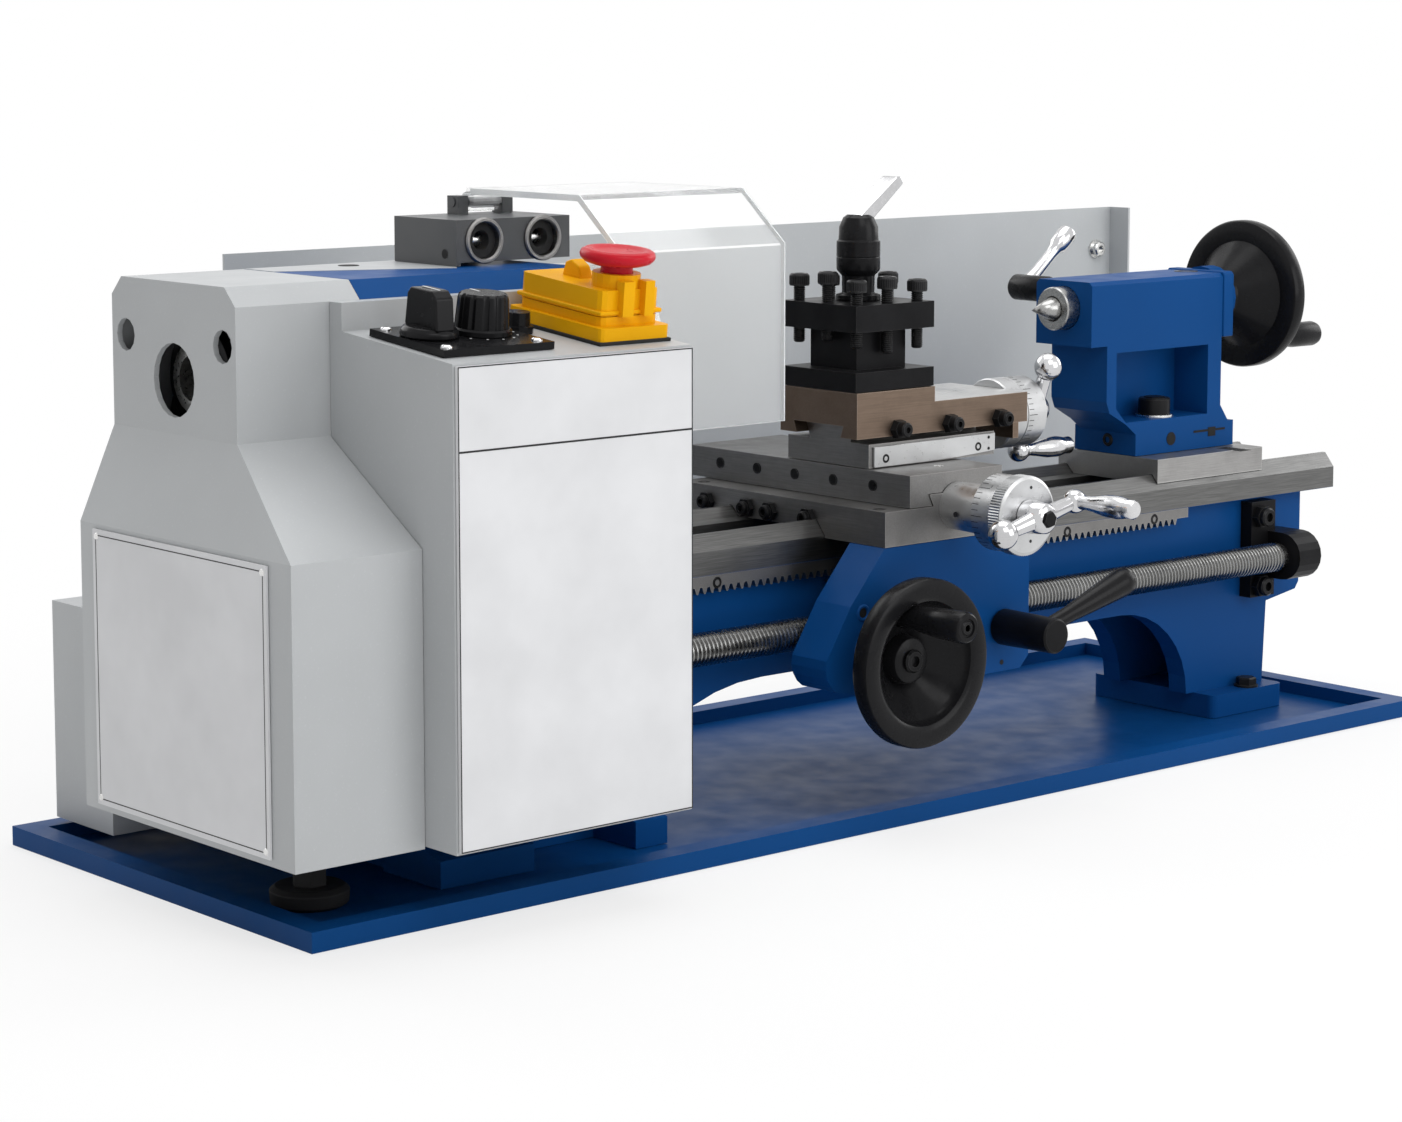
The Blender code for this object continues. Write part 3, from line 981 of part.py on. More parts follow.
def make_half_nuts():
    centre = (LEVER_X, 0, LEVER_Z)
    y0 = APRON_BACK - APRON_T
    origin = (LEVER_X, y0, LEVER_Z)
    hub = [(-15, 0), (-15, 8.5), (y0 - GAP, 8.5), (y0 - GAP, SHAFT_R), (GEAR_Y0, SHAFT_R)]
    hub += [(GEAR_Y0, CAM_R), (GEAR_Y1, CAM_R), (GEAR_Y1, 0)]
    tip = (492.0, 102.0)
    run = math.dist((LEVER_X, LEVER_Z), tip)
    arm = turned("x", (0, 0, LEVER_Z),
        [(LEVER_X - 3, 0), (LEVER_X - 3, 4.2), (LEVER_X + run - 26, 5), (LEVER_X + run - 24, 6.5),
         (LEVER_X + run - 2, 7), (LEVER_X + run, 5.5), (LEVER_X + run, 0)], SMALL)
    lean = math.atan2(tip[1] - LEVER_Z, tip[0] - LEVER_X)
    arm = tilt(arm, "y", -lean, (LEVER_X, 0, LEVER_Z))
    arm.data.transform(Matrix.Translation((0, -2 * MM, 0)))
    node("half_nut_lever", union(turned("y", centre, hub, SMALL), arm), black(), origin)
    screw = (0, LEADSCREW_Y, LEADSCREW_Z)
    x0, x1 = 404.0, 430.0
    back = RACK_Y0 - 1.5
    for name, side in (("half_nut_upper", 1), ("half_nut_lower", -1)):
        inner = LEADSCREW_Z + side * (GAP + HALF_NUT_OPEN)
        outer = inner + side * 14
        half = block(x0, x1, APRON_BACK + GAP, back, min(inner, outer), max(inner, outer))
        groove = rod("x", (0, LEADSCREW_Y, LEADSCREW_Z + side * HALF_NUT_OPEN), x0 - 5, x1 + 5,
            LEADSCREW_R + GAP)
        node(name, cut(half, groove), steel(), (x0, APRON_BACK, inner))


def make_cross_slide():
    slide = block(CROSS_X0, CROSS_X1, CROSS_Y0, CROSS_Y1, SADDLE_TOP + GAP, CROSS_TOP)
    groove = prism("y",
        dovetail(CROSS_SCREW_X, SADDLE_TOP - 1, DOVETAIL_W, DOVETAIL_H + 1, DOVETAIL_FLARE, GAP),
                   CROSS_Y0 - 5, CROSS_Y1 + 5)
    cut(slide, groove)
    x, z = CROSS_SCREW_X, CROSS_SCREW_Z
    nut = block(x - NUT_SLOT + 0.5, x + NUT_SLOT - 0.5, AXIS_Y - 12, AXIS_Y + 8, z - 1, CROSS_TOP - 2)
    bore = rod("y", (x, 0, z), CROSS_Y0, CROSS_Y1, FEED_SCREW_R + GAP, SMALL)
    node("cross_slide", cut(union(slide, nut), bore), cast(), (x, AXIS_Y, SADDLE_TOP))
    at = (x, 0, z)
    sleeve = ring("y", at, -5, SADDLE_FRONT - GAP, FEED_SCREW_R + GAP, 12.5)
    node("cross_feed_sleeve", sleeve, steel())
    origin = (x, SADDLE_FRONT, z)
    carrier = group("cross_crank_axis", origin)
    dial = [(-26, FEED_SCREW_R + GAP), (-26, 14.5), (-25, 19.3), (-5 - GAP, 19.3),
        (-5 - GAP, FEED_SCREW_R + GAP)]
    node("cross_feed_dial", turned("y", at, dial), steel(), origin, carrier)
    face = -26 - GAP
    crank = tilt(crank_shape(at, face, -1, SADDLE_BACK - 30 - face), "y", math.radians(-13), at)
    node("cross_feed_crank", crank, chrome(), origin, carrier)


def crank_shape(at, face, side, screw_l):
    """A ball crank across Y: hub at the face, a bar with a ball at one end and a grip at the other."""
    middle = face + side * 7
    low, high = sorted((face, face + side * 13))
    hub = rod("y", at, low, high, 8.0, SMALL)
    x, z = at[0], at[2]
    bar = rod("x", (0, middle, z), x - CRANK_REACH, x + CRANK_REACH, 3.6, SMALL)
    end = ball((x - CRANK_REACH, middle, z), CRANK_BALL_R, 14)
    knuckle = ball((x + CRANK_REACH, middle, z), 5.6, 10)
    grip_at = (x + CRANK_REACH, 0, z)
    start = middle + side * 3
    profile = [(start, 0), (start, 3.4), (start + side * 8, 3.6), (start + side * 22, 5.6),
               (start + side * (CRANK_GRIP_L - 1), 5.2), (start + side * CRANK_GRIP_L,
                   4), (start + side * CRANK_GRIP_L, 0)]
    grip = turned("y", grip_at, profile, SMALL)
    screw_ends = sorted((face + side * 4, face - side * screw_l))
    screw = rod("y", at, *screw_ends, FEED_SCREW_R, SMALL)
    return union(hub, screw, bar, end, knuckle, grip)


# --- compound and tool post -----------------------------------------------------------------


def make_compound():
    pivot = (SWIVEL_X, SWIVEL_Y, CROSS_TOP)
    base = block(COMPOUND_X0, COMPOUND_X1, COMPOUND_Y0, COMPOUND_Y1, CROSS_TOP + GAP, COMPOUND_TOP)
    rail = prism("x", dovetail(TOP_SCREW_Y, COMPOUND_TOP - 1, 28, TOP_RAIL_H + 1, 3.5), COMPOUND_X0,
        COMPOUND_X1)
    slot = block(COMPOUND_X0 + 20, COMPOUND_X1 + 5, TOP_SCREW_Y - NUT_SLOT, TOP_SCREW_Y + NUT_SLOT,
                 TOP_SCREW_Z - 4.6, TOP_SCREW_Z + 20)
    node("compound_base", cut(union(base, rail), slot), cast(), pivot)
    slide = block(TOP_X0, TOP_STEP_X, TOP_Y0, TOP_Y1, TOP_Z0, TOP_Z1)
    tail = block(TOP_STEP_X - 1, TOP_X1, TOP_Y0, TOP_Y1, TOP_Z0, TOP_STEP_Z)
    low_tail = block(COMPOUND_X1 + TOP_TRAVEL_IN + 2, TOP_X1, TOP_Y0 + 6, TOP_Y1 - 6, COMPOUND_TOP - 6,
        TOP_Z0 + 1)
    groove = prism("x", dovetail(TOP_SCREW_Y, COMPOUND_TOP - 1, 28, TOP_RAIL_H + 1, 3.5, GAP),
                   TOP_X0 - 5, COMPOUND_X1 + TOP_TRAVEL_IN + 2)
    stud = rod("z", (POST_X, POST_Y, 0), TOP_Z1 - 6, POST_TOP + STUD_RISE, STUD_T_R, SMALL)
    bore = rod("x", (0, TOP_SCREW_Y, TOP_SCREW_Z), COMPOUND_X1, TOP_X1 + 5, FEED_SCREW_R + GAP, SMALL)
    body = union(slide, tail, low_tail)
    node("top_slide", union(cut(body, groove, bore), stud),
        material("bronzed_iron", (0.2, 0.15, 0.115), 0.4, 0.8),
         (SWIVEL_X, TOP_SCREW_Y, COMPOUND_TOP))
    at = (0, TOP_SCREW_Y, TOP_SCREW_Z)
    origin = (TOP_X1, TOP_SCREW_Y, TOP_SCREW_Z)
    carrier = group("compound_crank_axis", origin)
    x = TOP_X1 + GAP
    dial = [(x, FEED_SCREW_R + GAP), (x, 18.2), (x + 25, 18.2), (x + 26, 14), (x + 26, FEED_SCREW_R + GAP)]
    node("compound_dial", turned("x", at, dial), steel(), origin, carrier)
    face = x + 26 + GAP
    crank = crank_shape(at, 0, 1, face - COMPOUND_X0 - 40)
    base_point = world(0, 0, TOP_SCREW_Z)
    turn = Matrix.Translation(world(face, TOP_SCREW_Y, TOP_SCREW_Z))
    turn = turn @ Matrix.Rotation(math.radians(114), 4, "X") @ Matrix.Rotation(math.radians(-90), 4, "Z")
    crank.data.transform(turn @ Matrix.Translation(-base_point))
    node("compound_crank", crank, chrome(), origin, carrier)


def make_tool_post():
    x, y, half = POST_X, POST_Y, POST_SIDE / 2
    z = POST_Z0
    base = block(x - half, x + half, y - half, y + half, z, z + POST_BASE_T)
    inset = half - POST_INSET
    neck_top = z + POST_BASE_T + POST_NECK_H
    neck = block(x - inset, x + inset, y - inset, y + inset, z, POST_TOP)
    head = block(x - half, x + half, y - half, y + half, neck_top, POST_TOP)
    bore = rod("z", (x, y, 0), z - 5, POST_TOP + 5, STUD_T_R + GAP, SMALL)
    node("tool_post", cut(union(base, neck, head), bore), black(), (x, y, z))
    stud_top = POST_TOP + STUD_RISE
    seat = POST_TOP + GAP
    profile = [(seat, STUD_T_R + GAP), (seat, 11), (seat + 3, 11), (seat + 4, 8), (seat + 12, 8.2),
        (seat + 14, 10.4)]
    profile += [(seat + 27, 10.4), (seat + 28, 9.4), (seat + 39, 9.4), (seat + 44, 6), (seat + 44, 0)]
    profile += [(stud_top + GAP, 0), (stud_top + GAP, STUD_T_R + GAP)]
    hub = turned("z", (x, y, 0), profile)
    tip_x, tip_z = 409.0, 303.5
    root = [(x - 4, seat + 37), (x + 4, seat + 33), (x + 9, seat + 37), (tip_x, tip_z - 3),
        (tip_x - 1, tip_z)]
    root += [(tip_x - 7, tip_z - 1), (x - 1, seat + 42)]
    blade = prism("y", root, y - 5, y + 5)
    node("tool_post_lever", union(hub, blade), black(), (x, y, POST_TOP))


# --- tailstock ------------------------------------------------------------------------------
def make_tailstock():
    sole = prism("x", way_outline(SOLE_Y0, 2 * AXIS_Y - SOLE_Y0, SADDLE_BOTTOM, SOLE_TOP), SOLE_X0, SOLE_X1)
    bolt_x, bolt_y = 618.0, AXIS_Y - 9
    hole = rod("z", (bolt_x, bolt_y, 0), FLAT_Z - 10, SOLE_TOP + 10, 4 + GAP, SMALL)
    node("tailstock_sole", cut(sole, hole), cast())
    z0 = SOLE_TOP + GAP
    y0, y1 = TAIL_FRONT, TAIL_BACK
    base = block(TAIL_BASE_X0, TAIL_BASE_X1, y0, y1 + 4, z0, TAIL_BASE_TOP)
    neck = [(TAIL_BASE_X0, TAIL_BASE_TOP - 2), (TAIL_BASE_X1 - 3, TAIL_BASE_TOP - 2)]
    neck += [(TAIL_X1 - 8, TAIL_BASE_TOP + 9), (TAIL_X1 - 8, TAIL_BLOCK_Z0 + 2)]
    neck += [(TAIL_X0 + 12.5, TAIL_BLOCK_Z0 + 2), (TAIL_X0 + 12.5, TAIL_BASE_TOP + 17)]
    neck += [(TAIL_X0 + 15, TAIL_BASE_TOP + 11), (TAIL_BASE_X0 - 8, TAIL_BASE_TOP + 4)]
    neck = prism("y", neck, y0, y1)
    head_block = prism("x",
        [(y0, TAIL_BLOCK_Z0), (y1, TAIL_BLOCK_Z0), (y1, TAIL_BLOCK_Z1 - 2), (y1 - 2, TAIL_BLOCK_Z1),
                         (y0 + 2, TAIL_BLOCK_Z1), (y0, TAIL_BLOCK_Z1 - 2)], TAIL_X0, TAIL_X1)
    body = union(base, neck, head_block)
    shelf = TAIL_BASE_TOP + 5
    pocket = [(TAIL_X0 + 28, shelf), (TAIL_X1 - 19, shelf), (TAIL_X1 - 19, TAIL_BLOCK_Z0 - 4)]
    pocket += [(TAIL_X0 + 20, TAIL_BLOCK_Z0 - 4), (TAIL_X0 + 20, shelf + 8)]
    pocket = prism("y", pocket, y0 - 5, y0 + 24)
    axis = (0, AXIS_Y, AXIS_Z)
    quill_bore = rod("x", axis, TAIL_X0 - 5, TAIL_X1, QUILL_R + GAP)
    screw_bore = rod("x", axis, TAIL_X1 - 5, TAIL_X1 + CAP_T + 5, TAIL_SCREW_R + GAP, SMALL)
    cap = rod("x", axis, TAIL_X1 - 3, TAIL_X1 + CAP_T, 17)
    bolt_hole = rod("z", (bolt_x, bolt_y, 0), SOLE_TOP - 5, shelf + 5, 4 + GAP, SMALL)
    lock = rod("y", (LOCK_X, 0, LOCK_Z), TAIL_BACK - 6, TAIL_BACK + 5, 4 + GAP, SMALL)
    node("tailstock_body", cut(union(body, cap), pocket, quill_bore, screw_bore, bolt_hole, lock), blue())
    under = RAIL_Z0 - GAP
    plate = block(bolt_x - 20, bolt_x + 20, WALL_Y0 + WALL_T + 0.7, WALL_Y1 - WALL_T - 0.7, under - 7, under)
    profile = [(under - 12, 0), (under - 12, 7), (under - 6, 7), (under - 6, 4), (shelf + GAP, 4),
        (shelf + GAP, 8.5)]
    profile += [(shelf + 2, 8.5), (shelf + 2, 6.8), (shelf + 10, 6.8), (shelf + 11, 5.5), (shelf + 11, 0)]
    bolt = turned("z", (bolt_x, bolt_y, 0), profile, SMALL)
    node("tailstock_clamp", union(plate, bolt), black())


def make_quill():
    axis = (0, AXIS_Y, AXIS_Z)
    origin = (QUILL_X0, AXIS_Y, AXIS_Z)
    back = TAIL_X1 - 2
    profile = [(QUILL_X0, TAPER_R + GAP), (QUILL_X0, QUILL_R), (back, QUILL_R), (back, TAIL_SCREW_R + GAP)]
    profile += [(QUILL_X0 + 52, TAIL_SCREW_R + GAP), (QUILL_X0 + 46, TAPER_R - 1 + GAP)]
    node("quill", turned("x", axis, profile), steel(), origin)
    tip = [(CENTRE_TIP_X, 0), (QUILL_X0 - 1.5, 8.6), (QUILL_X0 - 0.5, 8.6), (QUILL_X0 - 0.5, TAPER_R),
           (QUILL_X0 + 42, TAPER_R - 1), (QUILL_X0 + 42, 0)]
    node("dead_centre", turned("x", axis, tip, SMALL), steel(), origin)
    wheel_origin = (TAIL_WHEEL_X, AXIS_Y, AXIS_Z)
    screw = rod("x", axis, QUILL_X0 + 60, TAIL_WHEEL_X + 4, TAIL_SCREW_R, SMALL)
    x, r = TAIL_WHEEL_X, TAIL_WHEEL_R
    hub = TAIL_X1 + CAP_T + GAP
    profile = [(hub, 0), (hub, 12), (hub + 6, 13.5), (x - 1, r - 13), (x + 0.5, r - 11),
        (x, r - 10)]
    profile += [(x, r - 2), (x + 2, r), (x + 7, r), (x + 9, r - 2), (x + 9, r - 10), (x + 4, r - 14),
        (x - 6, 17.5)]
    profile += [(x + 6, 15), (x + 8, 14), (x + 8, 0)]
    wheel = turned("x", axis, profile, FINE)
    grip_at = (0, AXIS_Y - 21, AXIS_Z - 23)
    start = x + 1
    grip = [(start, 0), (start, 5), (start + 20, 6.8), (start + 38, 6.9), (start + 40, 5.5), (start + 40, 0)]
    node("tail_handwheel", union(wheel, screw, turned("x", grip_at, grip, SMALL)), black(), wheel_origin)
    lock_at = (LOCK_X, 0, LOCK_Z)
    y0 = TAIL_BACK + GAP
    hub = rod("y", lock_at, y0, y0 + 26, 7, SMALL)
    stem = rod("y", lock_at, TAIL_BACK - 5.5, y0 + 2, 4, SMALL)
    arm = turned("x", (0, y0 + 19, LOCK_Z), [(LOCK_X, 0), (LOCK_X, 3), (LOCK_X + 30, 3.4), (LOCK_X + 42, 5.4),
                                             (LOCK_X + 45, 4), (LOCK_X + 45, 0)], SMALL)
    arm = tilt(arm, "y", math.radians(-40), (LOCK_X, y0 + 19, LOCK_Z))
    node("quill_lock_lever", union(hub, stem, arm), chrome(), (LOCK_X, TAIL_BACK, LOCK_Z))


def main():
    for obj in list(bpy.data.objects):
        bpy.data.objects.remove(obj)
    make_tray()
    make_bed()
    make_rack()
    make_headstock()
    make_change_gears(make_spindle())
    make_leadscrew_bracket()
    make_drive()
    make_motor_cover()
    make_gear_cover()
    make_control_box()
    make_panel_controls()
    make_switch()
    make_guard()
    make_splash_guard()
    make_saddle()
    make_apron()
    make_apron_gears()
    make_apron_wheel()
    make_half_nuts()
    make_cross_slide()
    make_compound()
    make_tool_post()
    make_tailstock()
    make_quill()


main()
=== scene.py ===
"""Looks for the bench lathe: materials, light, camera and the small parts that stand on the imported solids.

Lengths are in millimetres from the tray's left front bottom corner, as the makers of such machines
draw them, and at() turns them into the row frame in metres.
"""

import math

import bmesh
import bpy
from mathutils import Matrix, Vector


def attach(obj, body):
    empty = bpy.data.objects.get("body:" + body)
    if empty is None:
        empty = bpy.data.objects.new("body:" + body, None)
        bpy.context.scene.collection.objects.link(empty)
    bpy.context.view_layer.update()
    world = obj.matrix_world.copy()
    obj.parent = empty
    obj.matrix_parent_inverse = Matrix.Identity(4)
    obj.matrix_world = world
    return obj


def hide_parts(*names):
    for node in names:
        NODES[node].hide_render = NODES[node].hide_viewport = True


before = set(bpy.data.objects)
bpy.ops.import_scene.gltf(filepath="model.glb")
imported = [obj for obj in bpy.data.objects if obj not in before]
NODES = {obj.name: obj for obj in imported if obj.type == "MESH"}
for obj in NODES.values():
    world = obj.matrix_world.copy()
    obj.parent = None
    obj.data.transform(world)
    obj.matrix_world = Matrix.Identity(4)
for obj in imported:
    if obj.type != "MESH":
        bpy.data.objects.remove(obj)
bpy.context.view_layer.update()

MM = 0.001
TRAY_L, TRAY_W = 730.0, 244.0
AXIS_Y, AXIS_Z = 102.0, 228.0
BOX_SLOPE = math.atan2(8.0, 77.5)
BOX_FRONT_Y, BOX_FRONT_TOP = -32.5, 242.0
DIRECTION_KNOB, SPEED_KNOB = (67.0, 7.0), (93.5, 6.0)
SWITCH = (135.5, 173.5, -22.0, 42.0)
TAIL_WHEEL_X, TAIL_WHEEL_R = 697.0, 41.0


# --- shapes ---
def at(x, y, z):
    """A place measured from the tray's corner, in the row frame."""
    return Vector(((x - TRAY_L / 2) * MM, (y - TRAY_W / 2) * MM, z * MM))


ORDER = {"x": (1, 2, 0), "y": (0, 2, 1), "z": (0, 1, 2)}


def spot(axis, across, up, along):
    """A place given by two measures across an axis and one along it."""
    point = [0.0, 0.0, 0.0]
    for index, value in zip(ORDER[axis], (across, up, along)):
        point[index] = value
    return at(*point)


def shifted(start, profile):
    """A profile of (along, radius) whose lengths are counted from a start."""
    return [(start + along, radius) for along, radius in profile]


class Shape:
    """Collects solids into one mesh."""

    def __init__(self):
        self.bm = bmesh.new()
        self.mark = 0

    def prism(self, axis, outline, low, high):
        bm = self.bm
        rows = [[bm.verts.new(spot(axis, a, b, level)) for a, b in outline] for level in (low, high)]
        for row in rows:
            bm.faces.new(row)
        for i in range(len(outline)):
            j = (i + 1) % len(outline)
            bm.faces.new((rows[0][i], rows[0][j], rows[1][j], rows[1][i]))
        return self

    def block(self, x0, x1, y0, y1, z0, z1):
        return self.prism("z", [(x0, y0), (x1, y0), (x1, y1), (x0, y1)], z0, z1)

    def turned(self, axis, centre, profile, sides=32):
        """A closed profile of (along, radius) turned round an axis; radius 0 closes at the axis."""
        bm = self.bm
        a0, b0 = (centre[i] for i in ORDER[axis][:2])
        rows = []
        for along, radius in profile:
            if radius == 0:
                rows.append([bm.verts.new(spot(axis, a0, b0, along))])
                continue
            angles = [2 * math.pi * i / sides for i in range(sides)]
            rows.append([bm.verts.new(spot(axis, a0 + radius * math.cos(q), b0 + radius * math.sin(q), along))
                         for q in angles])
        for row, after in zip(rows, rows[1:] + rows[:1]):
            for i in range(sides):
                j = (i + 1) % sides
                corners = [row[i % len(row)], row[j % len(row)], after[j % len(after)], after[i % len(after)]]
                corners = list(dict.fromkeys(corners))
                if len(corners) > 2:
                    bm.faces.new(corners)
        return self

    def solid(self, axis, centre, profile, sides=32):
        """A turned profile with a flat closing face at each end."""
        return self.turned(axis, centre, [(profile[0][0], 0), *profile, (profile[-1][0], 0)], sides)

    def rod(self, axis, centre, low, high, radius, sides=32):
        return self.solid(axis, centre, [(low, radius), (high, radius)], sides)

    def ball(self, centre, radius, sides=24):
        steps = sides // 2
        angles = [math.pi * i / steps for i in range(steps + 1)]
        profile = [(centre[0] - radius * math.cos(q), 0 if i in (0, steps) else radius * math.sin(q))
                   for i, q in enumerate(angles)]
        return self.turned("x", centre, profile, sides)

    def socket_screw(self, axis, centre, head, radius, depth):
        """A cap screw's head: head is its outer face, depth its height, negative if it points back."""
        hex_r = radius * 0.5
        back, floor = head - depth, head - depth * 0.5
        inset = math.copysign(radius * 0.16, depth)
        profile = [(back, radius), (head - inset, radius), (head, radius - abs(inset)), (head, hex_r), (floor, hex_r)]
        return self.solid(axis, centre, profile, 24)

    def turn(self, matrix):
        """Moves what was added since the last turn by a matrix of the row frame."""
        verts = list(self.bm.verts)[self.mark:]
        bmesh.ops.transform(self.bm, matrix=matrix, verts=verts)
        self.mark = len(self.bm.verts)
        return self

    def make(self, name, material, body, slot, bevel=0.0, segments=2, angle=35, instead_of=None):
        """Turns the mesh into a piece that rides on a body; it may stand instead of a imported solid."""
        bmesh.ops.recalc_face_normals(self.bm, faces=self.bm.faces)
        mesh = bpy.data.meshes.new(name)
        self.bm.to_mesh(mesh)
        self.bm.free()
        piece = bpy.data.objects.new(name, mesh)
        bpy.context.collection.objects.link(piece)
        mesh.materials.append(material)
        mesh.shade_smooth()
        mesh.set_sharp_from_angle(angle=math.radians(angle))
        if bevel:
            add_bevel(piece, bevel, segments)
        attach(piece, body)
        if instead_of:
            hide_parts(instead_of)


def add_bevel(piece, width, segments=2):
    modifier = piece.modifiers.new("Edges", "BEVEL")
    modifier.width = width * MM
    modifier.segments = segments
    modifier.limit_method = "ANGLE"
    modifier.angle_limit = math.radians(35)
    modifier.harden_normals = True
    modifier.use_clamp_overlap = True


def about(axis, angle, centre):
    """A turn by an angle in radians round an axis through a centre."""
    point = at(*centre)
    return Matrix.Translation(point) @ Matrix.Rotation(angle, 4, axis.upper()) @ Matrix.Translation(-point)


SLOPED = about("x", BOX_SLOPE, (0, BOX_FRONT_Y, BOX_FRONT_TOP))


# --- materials ---
class Paint:
    """A Principled material whose colour, roughness and bump come from procedural nodes."""

    def __init__(self, name, **sockets):
        self.made = bpy.data.materials.new(name)
        self.made.use_nodes = True
        self.tree = self.made.node_tree
        self.shader = self.tree.nodes["Principled BSDF"]
        for socket, value in sockets.items():
            self.shader.inputs[socket.replace("_", " ")].default_value = value
        self.place = self.node("ShaderNodeTexCoord").outputs["Object"]

    def node(self, kind, **settings):
        made = self.tree.nodes.new(kind)
        for key, value in settings.items():
            setattr(made, key, value)
        return made

    def link(self, source, target):
        self.tree.links.new(source, target)

    def stretched(self, scale):
        mapping = self.node("ShaderNodeMapping")
        mapping.inputs["Scale"].default_value = scale
        self.link(self.place, mapping.inputs["Vector"])
        return mapping.outputs["Vector"]

    def noise(self, scale, detail=3.0, rough=0.5, vector=None):
        made = self.node("ShaderNodeTexNoise")
        made.inputs["Scale"].default_value = scale
        made.inputs["Detail"].default_value = detail
        made.inputs["Roughness"].default_value = rough
        self.link(vector or self.place, made.inputs["Vector"])
        return made.outputs["Fac"]

    def ramp(self, value, dark, light):
        made = self.node("ShaderNodeValToRGB")
        for element, position, colour in zip(made.color_ramp.elements, (0.3, 0.7), (dark, light)):
            element.position = position
            element.color = (*colour, 1)
        self.link(value, made.inputs["Fac"])
        return made.outputs["Color"]

    def ranged(self, value, low, high, start=0.3, end=0.7):
        made = self.node("ShaderNodeMapRange")
        for name, number in (("From Min", start), ("From Max", end), ("To Min", low), ("To Max", high)):
            made.inputs[name].default_value = number
        self.link(value, made.inputs["Value"])
        return made.outputs["Result"]

    def edges(self, radius):
        """1 on convex and concave edges, 0 on flat faces."""
        bevel = self.node("ShaderNodeBevel", samples=4)
        bevel.inputs["Radius"].default_value = radius * MM
        geometry = self.node("ShaderNodeNewGeometry")
        dot = self.node("ShaderNodeVectorMath", operation="DOT_PRODUCT")
        self.link(bevel.outputs["Normal"], dot.inputs[0])
        self.link(geometry.outputs["Normal"], dot.inputs[1])
        return self.ranged(dot.outputs["Value"], 1.0, 0.0, 0.9, 0.995)

    def mix(self, factor, first, second):
        made = self.node("ShaderNodeMix", data_type="RGBA")
        self.link(factor, made.inputs["Factor"])
        for socket, value in (("A", first), ("B", second)):
            target = [i for i in made.inputs if i.name == socket and i.type == "RGBA"][0]
            if isinstance(value, tuple):
                target.default_value = (*value, 1)
            else:
                self.link(value, target)
        return [o for o in made.outputs if o.type == "RGBA"][0]

    def bump(self, *layers):
        """Bump from (height, strength, distance in mm) layers."""
        normal = None
        for height, strength, distance in layers:
            made = self.node("ShaderNodeBump")
            made.inputs["Strength"].default_value = strength
            made.inputs["Distance"].default_value = distance * MM
            self.link(height, made.inputs["Height"])
            if normal is not None:
                self.link(normal, made.inputs["Normal"])
            normal = made.outputs["Normal"]
        self.link(normal, self.shader.inputs["Normal"])

    def colour(self, value):
        self.link(value, self.shader.inputs["Base Color"])

    def roughness(self, value):
        self.link(value, self.shader.inputs["Roughness"])


def shade(colour, factor):
    return tuple(min(1.0, c * factor) for c in colour)


def enamel(name, colour, rough, coat, peel, cast=0.0, gloss=0.5):
    """Sprayed enamel: a little mottling, orange peel, and the casting's waviness under it."""
    paint = Paint(name, Coat_Weight=coat, Coat_Roughness=0.12, Specular_IOR_Level=gloss)
    tone = paint.ramp(paint.noise(7, 4), shade(colour, 0.93), shade(colour, 1.07))
    dust = paint.ranged(paint.noise(900, 2), 0.0, 0.09, 0.62, 0.78)
    paint.colour(paint.mix(dust, tone, shade(colour, 1.9)))
    paint.roughness(paint.ranged(paint.noise(55, 3), rough - 0.05, rough + 0.07))
    layers = [(paint.noise(520, 2), peel, 0.12)]
    if cast:
        layers.append((paint.noise(150, 5, 0.6), cast, 0.35))
    paint.bump(*layers)
    return paint.made


def machined(name, colour, rough, grain, edge_highlight=None):
    """Bare metal with tool lines along one axis, patchy oil tone and edges lightened as a painted highlight."""
    paint = Paint(name, Metallic=1.0)
    stretch = {"x": (6, 260, 260), "y": (260, 6, 260), "z": (260, 260, 6)}[grain]
    streak = paint.noise(9, 3, 0.6, paint.stretched(stretch))
    patch = paint.noise(28, 5, 0.62)
    tone = paint.ramp(streak, shade(colour, 0.86), shade(colour, 1.12))
    tone = paint.mix(paint.ranged(patch, 0.0, 0.65, 0.45, 0.75), tone, shade(colour, 0.62))
    # painted highlight: the edges are mixed toward a lighter colour, as if they caught the light
    if edge_highlight:
        tone = paint.mix(paint.ranged(paint.edges(0.7), 0.0, 0.8, 0.1, 1.0), tone, edge_highlight)
    paint.colour(tone)
    paint.roughness(paint.ranged(patch, rough - 0.08, rough + 0.12))
    paint.bump((streak, 0.5, 0.05), (paint.noise(1500, 2), 0.12, 0.03))
    return paint.made


def turned_metal(name, colour, rough):
    """Turned or ground metal with fine all-round grain."""
    paint = Paint(name, Metallic=1.0)
    grain = paint.noise(1.0 / (0.35 * MM) / 6, 3, 0.7)
    patch = paint.noise(45, 4)
    paint.colour(paint.ramp(patch, shade(colour, 0.88), shade(colour, 1.08)))
    paint.roughness(paint.ranged(grain, rough - 0.07, rough + 0.09))
    paint.bump((grain, 0.15, 0.03))
    return paint.made


def oxide(name, colour, rough, metallic, edge_highlight, gloss=0.2):
    """Black oxide or moulded black: satin, with a faint painted highlight on the edges."""
    paint = Paint(name, Metallic=metallic, Specular_IOR_Level=gloss)
    patch = paint.noise(35, 5, 0.6)
    tone = paint.ramp(patch, shade(colour, 0.75), shade(colour, 1.35))
    # painted highlight: the edges are mixed toward a lighter colour, as if they caught the light
    paint.colour(paint.mix(paint.ranged(paint.edges(0.5), 0.0, 0.55, 0.15, 1.0), tone, edge_highlight))
    paint.roughness(paint.ranged(patch, rough - 0.08, rough + 0.1))
    paint.bump((paint.noise(1100, 3), 0.2, 0.04))
    return paint.made


